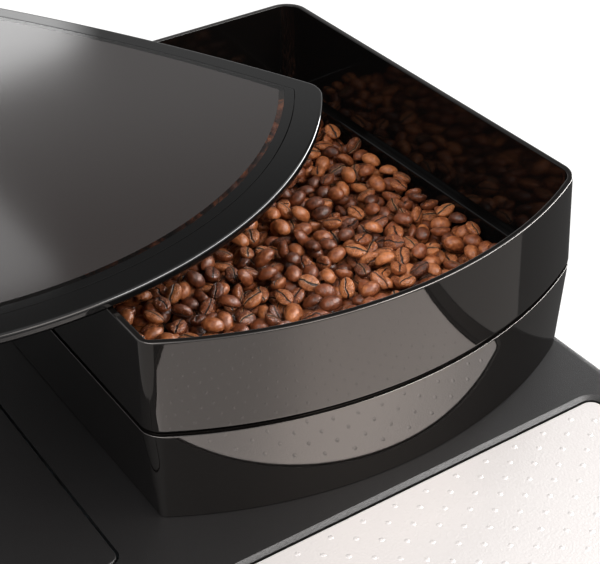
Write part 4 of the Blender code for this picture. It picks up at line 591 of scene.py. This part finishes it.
# the window: a printed black border, wider at the front, a narrow clear strip inside it, and an opaque satin
# field whose dark colour is painted shade, standing in for the beans in the lid's shadow
def makeLidWindow():
    bm = bmesh.new()
    s = lidShape
    edge, top = s["sideBand"] + s["gap"], s["top"]
    side, front = s["printed"]
    edgeDepth = s["frontBand"] - s["sideBand"]
    stripDepth = edgeDepth + front - side
    rim = softened([(edge, s["windowUnder"], 0), (edge, top, s["windowEdge"]), (edge + side, top, 0)],
                   steps=2, flatBeside=0.1)[:-1]
    profile = [(*point, edgeDepth) for point in rim]
    profile += [(inset, top, stripDepth) for inset in (edge + side, edge + side + s["clearStrip"])]
    loops = [loopOf(bm, lid, inset, level, front=inset + deeper) for inset, level, deeper in profile]
    for first, second in zip(loops, loops[1:]):
        bridge(bm, first, second)
    strip = {face for edge in loops[-1] for face in edge.link_faces}
    capped(bm, loops[0])
    under = next(face for face in bm.faces if len(face.verts) > 4)
    capped(bm, loops[-1])
    # the strip and the underside are clear, and the field is opaque, painted dark with the shade of the beans
    # beneath
    for face in bm.faces:
        if face in strip or face == under:
            face.material_index = 1
        elif len(face.verts) > 4:
            face.material_index = 2
    window = finished(bm, "lidWindow", lidBlack, "hopper_lid", ["lid_window"],
                      toPlace=lidPlace())
    window.data.materials.append(smokedGlass)
    window.data.materials.append(paintedShadeField)


makeLidFrame()
makeLidWindow()
print("lid made")


# top deck with its pocket for the cup plate, and the plate itself with its rows of dots
deckPlan = rounded(-141.5, 141.5, -225, 225, 8)
deckShape = {"under": 286.0, "top": 302.0, "edge": 4.5, "edgeFlat": 4, "wall": 3.0, "innerCorner": 5,
             "hopperHole": 13, "overrun": 5, "sideOverrun": 12}
platePlan = rounded(-125, 125, -203, -38.1, 5)
plateShape = {"under": 299.4, "top": 300.6, "edge": 0.35, "edgeFlat": 2, "pocketGap": 1.0,
              "pocketFloor": 299.1, "rimWidth": 1.9, "rimDrop": 1.4, "rimFlat": 0.4, "rimFoot": (0.3, 0.1),
              "floorThickness": 2.2}
dotPattern = {"firstX": -9.9, "pitch": 14.79, "firstY": -42.8, "rowPitch": 5.85, "shift": 7.4, "radius": 1.15,
              "rise": 0.20, "cut": 0.6, "margin": 2.5, "around": 8, "along": 12}
tankOpening = {"right": -79.0, "front": -10.5, "rear": 211.5, "corner": 5.0}
tankLidShape = {"left": -141.5, "right": -80.0, "front": -9.5, "rear": 210.5, "under": 299.0, "top": 302.0,
                "smaller": 0.7, "edge": 0.7, "edgeFlat": 2}


def makeDeck():
    d, p, o = deckShape, plateShape, deckPlan
    bm = bmesh.new()
    outerLoops = walls(bm, deckPlan, softened([
        (0, d["under"], 0), (0, d["top"], d["edge"]), (d["edge"] + d["edgeFlat"], d["top"], 0)], steps=7))
    pocketEdge, pocketRim, (footOut, footUp) = -p["pocketGap"], d["top"] - p["rimDrop"], p["rimFoot"]
    pocketLoops = walls(bm, platePlan, [
        (pocketEdge - p["rimWidth"] - p["rimFlat"], d["top"]), (pocketEdge - p["rimWidth"], d["top"]),
        (pocketEdge - footOut, pocketRim + footUp), (pocketEdge, pocketRim), (pocketEdge, p["pocketFloor"])])
    bridge(bm, outerLoops[-1], pocketLoops[0])
    capped(bm, pocketLoops[-1])
    capped(bm, outerLoops[0])
    low, high = d["under"] - d["overrun"], d["top"] + d["overrun"]
    hole = plannedBlock(hopper, [(d["hopperHole"], low), (d["hopperHole"], high)])
    openingPlan = rounded(o["left"] - d["sideOverrun"], tankOpening["right"], tankOpening["front"],
                          tankOpening["rear"], tankOpening["corner"])
    opening = plannedBlock(openingPlan, [(0, low), (0, high)])
    hollowPlan = rounded(o["left"] + d["wall"], o["right"] - d["wall"], o["front"] + d["wall"],
                         o["rear"] - d["wall"], d["innerCorner"])
    hollow = plannedBlock(hollowPlan, [(0, low), (0, p["pocketFloor"] - p["floorThickness"])])
    bm = carved(bm, [hole, hollow, opening])
    finished(bm, "topDeck", matteBlack, "housing", ["top_deck"], sharpAngle=30)


def makeCupPlate():
    p = plateShape
    profile = softened([(0, p["under"], 0), (0, p["top"], p["edge"]), (p["edgeFlat"], p["top"], 0)],
                       steps=3, flatBeside=0.15)
    bm = plannedBlock(platePlan, profile)
    finished(bm, "cupPlate", plateSteel, "housing", ["cup_plate"])


# a shallow cap: the top of a ball, cut at the given share of its radius and flattened
def dotTemplate():
    q = dotPattern
    dome = bmesh.new()
    bmesh.ops.create_uvsphere(dome, u_segments=q["around"], v_segments=q["along"], radius=1)
    bmesh.ops.bisect_plane(dome, geom=dome.verts[:] + dome.edges[:] + dome.faces[:],
                           plane_co=(0, 0, q["cut"]), plane_no=(0, 0, 1), clear_inner=True)
    bmesh.ops.translate(dome, verts=dome.verts, vec=(0, 0, -q["cut"]))
    width = q["radius"] / math.sqrt(1 - q["cut"] ** 2)
    bmesh.ops.scale(dome, verts=dome.verts, vec=(width, width, q["rise"] / (1 - q["cut"])))
    template = bpy.data.meshes.new("dome")
    dome.to_mesh(template)
    dome.free()
    return template


def makePlateDots():
    q = dotPattern
    template = dotTemplate()
    bm = bmesh.new()
    row, y = 0, q["firstY"]
    while y > platePlan["front"] + q["margin"]:
        start = q["firstX"] + (q["shift"] if row % 2 else 0)
        first = math.ceil((platePlan["left"] + q["margin"] - start) / q["pitch"])
        last = math.floor((platePlan["right"] - q["margin"] - start) / q["pitch"])
        for column in range(first, last + 1):
            before = len(bm.verts)
            bm.from_mesh(template)
            bm.verts.ensure_lookup_table()
            spot = (start + column * q["pitch"], y, plateShape["top"])
            bmesh.ops.translate(bm, verts=bm.verts[before:], vec=spot)
        row += 1
        y -= q["rowPitch"]
    finished(bm, "plateDots", plateSteel, "housing")


def makeTankLid():
    t = tankLidShape
    plan = rounded(t["left"], t["right"], t["front"], t["rear"], tankOpening["corner"] - t["smaller"])
    profile = softened([(0, t["under"], 0), (0, t["top"], t["edge"]), (t["edgeFlat"], t["top"], 0)],
                       flatBeside=0.2)
    bm = plannedBlock(plan, profile)
    finished(bm, "tankLid", matteBlack, "tank_cover", ["tank_lid"])


makeDeck()
makeCupPlate()
makePlateDots()
makeTankLid()
print("deck made")


# coffee beans: each one dropped in turn on those below it, at the lowest of a few random spots
beanShape = {
    "length": 9.6, "width": 7.2, "height": 4.9, "around": 10, "along": 7, "flatten": 0.42, "taper": 0.08,
    "creaseDepth": 0.0875, "creaseWidth": 0.25, "flatFacing": 0.35, "mapReach": 0.45,
}
beanPile = {
    "seed": 7, "fill": 337.0, "bed": 320.0, "blocked": 400.0, "cell": 0.8, "tries": 14, "patience": 60,
    "tilt": 20, "onEdge": 0.12, "upsideDown": 0.5, "sizeSpread": 0.042, "sink": 0.25, "perPiece": 700,
    "limit": 2200,
}
bedShape = {"gap": 0.4, "lift": 1, "slope": 12, "under": 312}


def beanTemplate():
    bm = bmesh.new()
    b = beanShape
    bmesh.ops.create_uvsphere(bm, u_segments=b["around"], v_segments=b["along"], radius=1)
    bmesh.ops.rotate(bm, verts=bm.verts, matrix=Matrix.Rotation(math.pi / 2, 3, "Y"))
    for vert in bm.verts:
        x, y, z = vert.co
        if z > 0:
            crease = math.exp(-(y / b["creaseWidth"]) ** 2) * max(0, 1 - x * x)
            z = z * b["flatten"] - b["creaseDepth"] * crease
        width = b["width"] / 2 * (1 - b["taper"] * x)
        vert.co = Vector((x * b["length"] / 2, y * width, z * b["height"] / (1 + b["flatten"])))
    bmesh.ops.recalc_face_normals(bm, faces=bm.faces)
    # one map says where on the bean, past 1 for its round side; the other is filled with each bean's tone
    place = bm.loops.layers.uv.new("beanPlace")
    bm.loops.layers.uv.new("beanTone")
    for face in bm.faces:
        roundSide = 0 if face.normal.z > b["flatFacing"] else 1
        for loop in face.loops:
            along, across = loop.vert.co.x / b["length"], loop.vert.co.y / b["width"] + 0.5
            loop[place].uv = (0.5 + b["mapReach"] * along + roundSide, across)
    mesh = bpy.data.meshes.new("bean")
    bm.to_mesh(mesh)
    bm.free()
    return mesh


def insideWell(xs, ys, margin):
    inset = funnelShape["inner"] + margin
    middle, centre = hopper["bowCentre"]
    onBow = np.hypot(xs - middle, np.minimum(ys - centre, 0)) < hopper["bowRadius"] - inset
    between = (xs > hopper["left"] + inset) & (xs < hopper["right"] - inset)
    return between & (ys < hopper["rear"] - inset) & onBow


# the underside and top of a turned ellipsoid over each cell, from its quadratic form, and where it covers
def beanOver(turn, half, localX, localY):
    spin = np.array(turn)
    form = spin @ np.diag(1 / half ** 2) @ spin.T
    square = form[2, 2]
    linear = 2 * (form[0, 2] * localX + form[1, 2] * localY)
    constant = form[0, 0] * localX ** 2 + form[1, 1] * localY ** 2 + 2 * form[0, 1] * localX * localY - 1
    within = linear * linear - 4 * square * constant
    covered = within > 0
    root = np.sqrt(np.where(covered, within, 0))
    return (-linear - root) / (2 * square), (-linear + root) / (2 * square), covered


def dropBeans():
    p, b = beanPile, beanShape
    draw = np.random.default_rng(p["seed"])
    cell = p["cell"]
    left, front = hopper["left"], hopper["bowCentre"][1] - hopper["bowRadius"]
    columns = int((hopper["right"] - left) / cell) + 2
    rows = int((hopper["rear"] - front) / cell) + 2
    gridX, gridY = np.meshgrid(left + np.arange(columns) * cell, front + np.arange(rows) * cell,
                               indexing="ij")
    height = np.where(insideWell(gridX, gridY, 0), p["bed"], p["blocked"])
    reach = int(b["length"] / 2 / cell) + 2
    offsets = np.arange(-reach, reach + 1) * cell
    localX, localY = np.meshgrid(offsets, offsets, indexing="ij")
    half = np.array([b["length"] / 2, b["width"] / 2, b["height"] / 2])
    middles = np.argwhere(insideWell(gridX, gridY, b["width"] / 2))
    placed = []
    misses = 0
    while len(placed) < p["limit"] and misses < p["patience"]:
        best = None
        for attempt in range(p["tries"]):
            i, j = middles[draw.integers(len(middles))]
            if i < reach or j < reach or i + reach >= columns or j + reach >= rows:
                continue
            tilt = math.radians(draw.normal(0, p["tilt"]))
            roll = math.radians(draw.normal(0, p["tilt"]))
            if draw.random() < p["onEdge"]:
                roll += math.pi / 2
            if draw.random() < p["upsideDown"]:
                roll += math.pi
            turn = (Matrix.Rotation(draw.uniform(0, 2 * math.pi), 3, "Z") @ Matrix.Rotation(tilt, 3, "Y")
                    @ Matrix.Rotation(roll, 3, "X"))
            low, high, covered = beanOver(turn, half, localX, localY)
            around = height[i - reach:i + reach + 1, j - reach:j + reach + 1]
            rest = np.max(np.where(covered, around - low, -np.inf))
            if best is None or rest < best[0]:
                best = (rest, i, j, turn, covered, high)
        if best is None or best[0] > p["fill"]:
            misses += 1
            continue
        rest, i, j, turn, covered, high = best
        rest -= p["sink"]
        around = height[i - reach:i + reach + 1, j - reach:j + reach + 1]
        around[covered] = np.maximum(around[covered], rest + high[covered])
        size = 1 + draw.normal(0, p["sizeSpread"])
        spot = Vector((gridX[i, j], gridY[i, j], rest))
        placed.append((spot, turn.copy(), size, draw.random(), draw.random()))
    print("beans placed", len(placed))
    return placed


def makeBeans():
    template = beanTemplate()
    placed = dropBeans()
    per = beanPile["perPiece"]
    for start in range(0, len(placed), per):
        bm = bmesh.new()
        for spot, turn, size, tone, chaff in placed[start:start + per]:
            bean = template.copy()
            bean.transform(Matrix.Translation(spot) @ turn.to_4x4() @ Matrix.Diagonal((size, size, size, 1)))
            toneLayer = bean.uv_layers["beanTone"].data
            toneLayer.foreach_set("uv", [tone, chaff] * len(toneLayer))
            bm.from_mesh(bean)
            bpy.data.meshes.remove(bean)
        finished(bm, f"beans{start // per + 1}", roastedBean, "housing", ["coffee_beans"],
                 sharpAngle=80)


# a dark floor under the beans, painted with the shade of the beans deeper in the pile, so that no gap between
# them shows the funnel
def makeShadedBeanBed():
    inner = funnelShape["inner"]
    bm = plannedBlock(hopper, [(inner + bedShape["gap"], beanPile["bed"] + bedShape["lift"]),
                               (inner + bedShape["slope"], bedShape["under"])])
    finished(bm, "shadedBeanBed", beanShade, "housing", ["coffee_beans"])


makeBeans()
makeShadedBeanBed()
print("beans made")


# panels and small parts whose shape is right get the same shape with its edges eased, so that they catch the
# light: the piece's name, its body, its slot and how wide the edges are
easedNodes = {
    "front_fascia": ("frontFascia", "housing", "gloss_black", 0.6),
    "base_pan": ("basePan", "housing", "matte_black", 0.6),
    "left_side_panel": ("leftSidePanel", "housing", "matte_black", 0.4),
    "right_side_panel": ("rightSidePanel", "housing", "matte_black", 0.4),
    "rear_panel": ("rearPanel", "housing", "matte_black", 0.4),
    "service_door": ("serviceDoor", "side_door", "matte_black", 0.4),
    "drip_tray": ("dripTray", "tray", "gloss_black", 0.4),
    "drip_grate": ("dripGrate", "tray", "steel", 0.25),
    "spout_body": ("spoutBody", "spout", "gloss_black", 0.7),
    "espresso_button": ("espressoButton", "key_espresso", "steel", 0.3),
    "coffee_button": ("coffeeButton", "key_coffee", "steel", 0.3),
    "long_coffee_button": ("longCoffeeButton", "key_long_coffee", "steel", 0.3),
    "power_button": ("powerButton", "key_power", "steel", 0.3),
}
edgeCare = {"joined": 2e-6, "flat": 0.5, "sharp": 30, "steps": 2, "faceWeight": 90}


def easeNode(nodeName, name, body, slot, width):
    bm = bmesh.new()
    bm.from_mesh(nodes[nodeName].data)
    bmesh.ops.remove_doubles(bm, verts=bm.verts, dist=edgeCare["joined"])
    bmesh.ops.dissolve_limit(bm, angle_limit=math.radians(edgeCare["flat"]), verts=bm.verts, edges=bm.edges)
    sharp = [edge for edge in bm.edges
             if len(edge.link_faces) == 2 and edge.calc_face_angle(0) > math.radians(edgeCare["sharp"])]
    bmesh.ops.bevel(bm, geom=sharp, offset=width * mm, segments=edgeCare["steps"], profile=0.5,
                    affect="EDGES", material=-1, clamp_overlap=True)
    piece = finished(bm, name, finishOfSlot[slot], body, [nodeName], toPlace=Matrix.Identity(4),
                     joined=edgeCare["joined"] / 2)
    # the large faces stay evenly lit beside their eased edges
    level = piece.modifiers.new("levelFaces", "WEIGHTED_NORMAL")
    level.keep_sharp = True
    level.weight = edgeCare["faceWeight"]


for nodeName, (name, body, slot, width) in easedNodes.items():
    easeNode(nodeName, name, body, slot, width)
print("panels eased")


# every solid that stays as it is gets the finish of its slot
def finishSolids():
    for node in nodes.values():
        for entry in node.material_slots:
            entry.material = finishOfSlot[entry.material.name.split(".")[0]]


finishSolids()
print("solids finished")


# light: a warm lamp at the front right, a smaller one overhead, and an even white surround
studio = {"surround": 0.42, "floorSize": 6, "floorColour": (0.22, 0.22, 0.22), "floorRoughness": 0.9,
          "floorSeen": 0.85, "floorMirrored": 0.03}
neutral, warm = (1.0, 1.0, 1.0), (1.0, 0.915, 0.85)
lamps = [
    {"name": "frontRight", "from": (0.76, -1.40, 1.88), "to": (0.06, -0.12, 0.33), "size": (1.9, 1.4),
     "power": 44, "colour": warm},
    {"name": "overhead", "from": (-0.9, -0.35, 1.75), "to": (0.08, 0.05, 0.33), "size": (1.1, 1.1),
     "power": 20, "colour": neutral},
]
# cards that show only in what the glossy pieces mirror: a large one behind with two brighter patches before
# it, a curved strip that draws a line along the rims, and a dim one that lies on the table
cards = [
    {"name": "rearCard", "from": (1.305, 2.562, 2.556), "to": (0.0, 0.0, 0.39), "size": (5.0, 3.4),
     "glow": 0.06},
    {"name": "edgeCard", "path": ((34.5, 51), (60, 40), (81, 30), (97, 18), (112.5, 7)), "halfRise": 7.5,
     "distance": 1.9, "centre": (0.046, 0.014, 0.389), "glow": 29, "firstLookOnly": True},
    {"name": "rearPatch", "corners": ((0.4, 1.25), (1.16, 1.25), (1.12, 1.555), (0.4, 1.63)), "glow": 3.4,
     "fade": (1.15, 0.99)},
    {"name": "leftPatch", "corners": ((0.2, 1.80), (0.769, 1.80), (0.955, 2.15), (0.2, 2.15)), "glow": 1.3},
    {"name": "tableCard", "from": (2.62, 1.394, 0.003), "to": (2.62, 1.394, 1.0), "size": (4.0, 4.0),
     "glow": 0.07, "roll": 12.4},
]
patchDistance = 2.47
# the rear card is brighter low down and high up, and brightest at its upper right
rearShade = {"low": (2.36, 1.95), "lowGlow": 0.3, "high": (2.65, 3.2), "highGlow": 0.5,
             "right": (1.99, 2.5), "upper": (2.36, 2.75), "rightGlow": 1.45}
cardLook = {"colour": (0.02, 0.02, 0.02), "roughness": 0.9, "firstLook": 1.5}


def facing(spot, aim, roll=0):
    turn = (Vector(aim) - Vector(spot)).to_track_quat("-Z", "Y")
    return Matrix.Translation(spot) @ turn.to_matrix().to_4x4() @ Matrix.Rotation(math.radians(roll), 4, "Z")


def cardFinish(card):
    made = newMaterial(card["name"], cardLook["colour"], Roughness=cardLook["roughness"],
                       Emission_Color=(1, 1, 1, 1), Emission_Strength=card["glow"])
    glow = None
    if card["name"] == "rearCard":
        parts, shade = objectParts(made), rearShade
        low = ranged(made, parts["Z"], *shade["low"])
        high = ranged(made, parts["Z"], *shade["high"])
        right = arithmetic(made, "MULTIPLY", ranged(made, parts["X"], *shade["right"]),
                           ranged(made, parts["Z"], *shade["upper"]))
        glow = arithmetic(made, "MULTIPLY_ADD", low, shade["lowGlow"], card["glow"])
        glow = arithmetic(made, "MULTIPLY_ADD", high, shade["highGlow"], glow)
        glow = arithmetic(made, "MULTIPLY_ADD", right, shade["rightGlow"], glow)
    elif "fade" in card:
        glow = arithmetic(made, "MULTIPLY", ranged(made, objectParts(made)["X"], *card["fade"]), card["glow"])
    elif "firstLookOnly" in card:
        depth = addNode(made, "ShaderNodeLightPath").outputs["Ray Depth"]
        glow = arithmetic(made, "MULTIPLY", arithmetic(made, "LESS_THAN", depth, cardLook["firstLook"]),
                          card["glow"])
    if glow is not None:
        wire(made, glow, shaderOf(made).inputs["Emission Strength"])
    return made


# a point seen from the card's centre at so many degrees right of straight ahead and so many above level
def aimed(card, turn, rise):
    turn, rise = math.radians(turn), math.radians(rise)
    way = Vector((math.sin(turn) * math.cos(rise), -math.cos(turn) * math.cos(rise), math.sin(rise)))
    return Vector(card["centre"]) + way * card["distance"]


def staged(bm, name, finish):
    mesh = bpy.data.meshes.new(name)
    bm.to_mesh(mesh)
    bm.free()
    mesh.materials.append(finish)
    piece = bpy.data.objects.new(name, mesh)
    bpy.context.collection.objects.link(piece)
    return piece


def makeCards():
    for card in cards:
        bm = bmesh.new()
        if "corners" in card:
            bm.faces.new([bm.verts.new((x, patchDistance, z)) for x, z in card["corners"]])
        elif "path" in card:
            pairs = [[bm.verts.new(aimed(card, turn, rise + side * card["halfRise"])) for side in (-1, 1)]
                     for turn, rise in card["path"]]
            for (low, high), (nextLow, nextHigh) in zip(pairs, pairs[1:]):
                bm.faces.new((low, nextLow, nextHigh, high))
        else:
            bmesh.ops.create_grid(bm, x_segments=1, y_segments=1, size=0.5)
            bmesh.ops.scale(bm, verts=bm.verts, vec=(*card["size"], 1))
            place = facing(card["from"], card["to"], card.get("roll", 0))
            bmesh.ops.transform(bm, matrix=place, verts=bm.verts)
        piece = staged(bm, card["name"], cardFinish(card))
        piece.visible_camera = False
        piece.visible_shadow = False
        piece.visible_diffuse = False


# the surround is white where it is seen or mirrored, and dimmer as a light on the object
def makeSurround():
    world = bpy.data.worlds.new("studio")
    bpy.context.scene.world = world
    world.use_nodes = True
    path, back = addNode(world, "ShaderNodeLightPath").outputs, world.node_tree.nodes["Background"]
    seen = arithmetic(world, "MAXIMUM", path["Is Camera Ray"], path["Is Glossy Ray"])
    seen = arithmetic(world, "MAXIMUM", seen, path["Is Transmission Ray"])
    level = addNode(world, "ShaderNodeMapRange", To_Min=studio["surround"], To_Max=1.0)
    wire(world, seen, level.inputs["Value"])
    wire(world, level.outputs["Result"], back.inputs["Strength"])
    back.inputs["Color"].default_value = (1, 1, 1, 1)


def makeLamps():
    for lamp in lamps:
        data = bpy.data.lights.new(lamp["name"], "AREA")
        data.shape = "RECTANGLE"
        data.size, data.size_y = lamp["size"]
        data.energy = lamp["power"]
        data.color = lamp["colour"]
        light = bpy.data.objects.new(lamp["name"], data)
        bpy.context.collection.objects.link(light)
        light.matrix_world = facing(lamp["from"], lamp["to"])


def makeFloor():
    bm = bmesh.new()
    bmesh.ops.create_grid(bm, x_segments=1, y_segments=1, size=studio["floorSize"])
    made = newMaterial("paleFloor", studio["floorColour"], Roughness=studio["floorRoughness"],
                       Emission_Color=(1, 1, 1, 1))
    path = addNode(made, "ShaderNodeLightPath").outputs
    mirrored = arithmetic(made, "MAXIMUM", path["Is Glossy Ray"], path["Is Transmission Ray"])
    mirrored = arithmetic(made, "MULTIPLY", mirrored, studio["floorMirrored"])
    glow = arithmetic(made, "MULTIPLY_ADD", path["Is Camera Ray"], studio["floorSeen"], mirrored)
    wire(made, glow, shaderOf(made).inputs["Emission Strength"])
    staged(bm, "floor", made)


makeSurround()
makeLamps()
makeCards()
makeFloor()
bpy.context.scene.view_settings.view_transform = "Standard"
print("studio made")
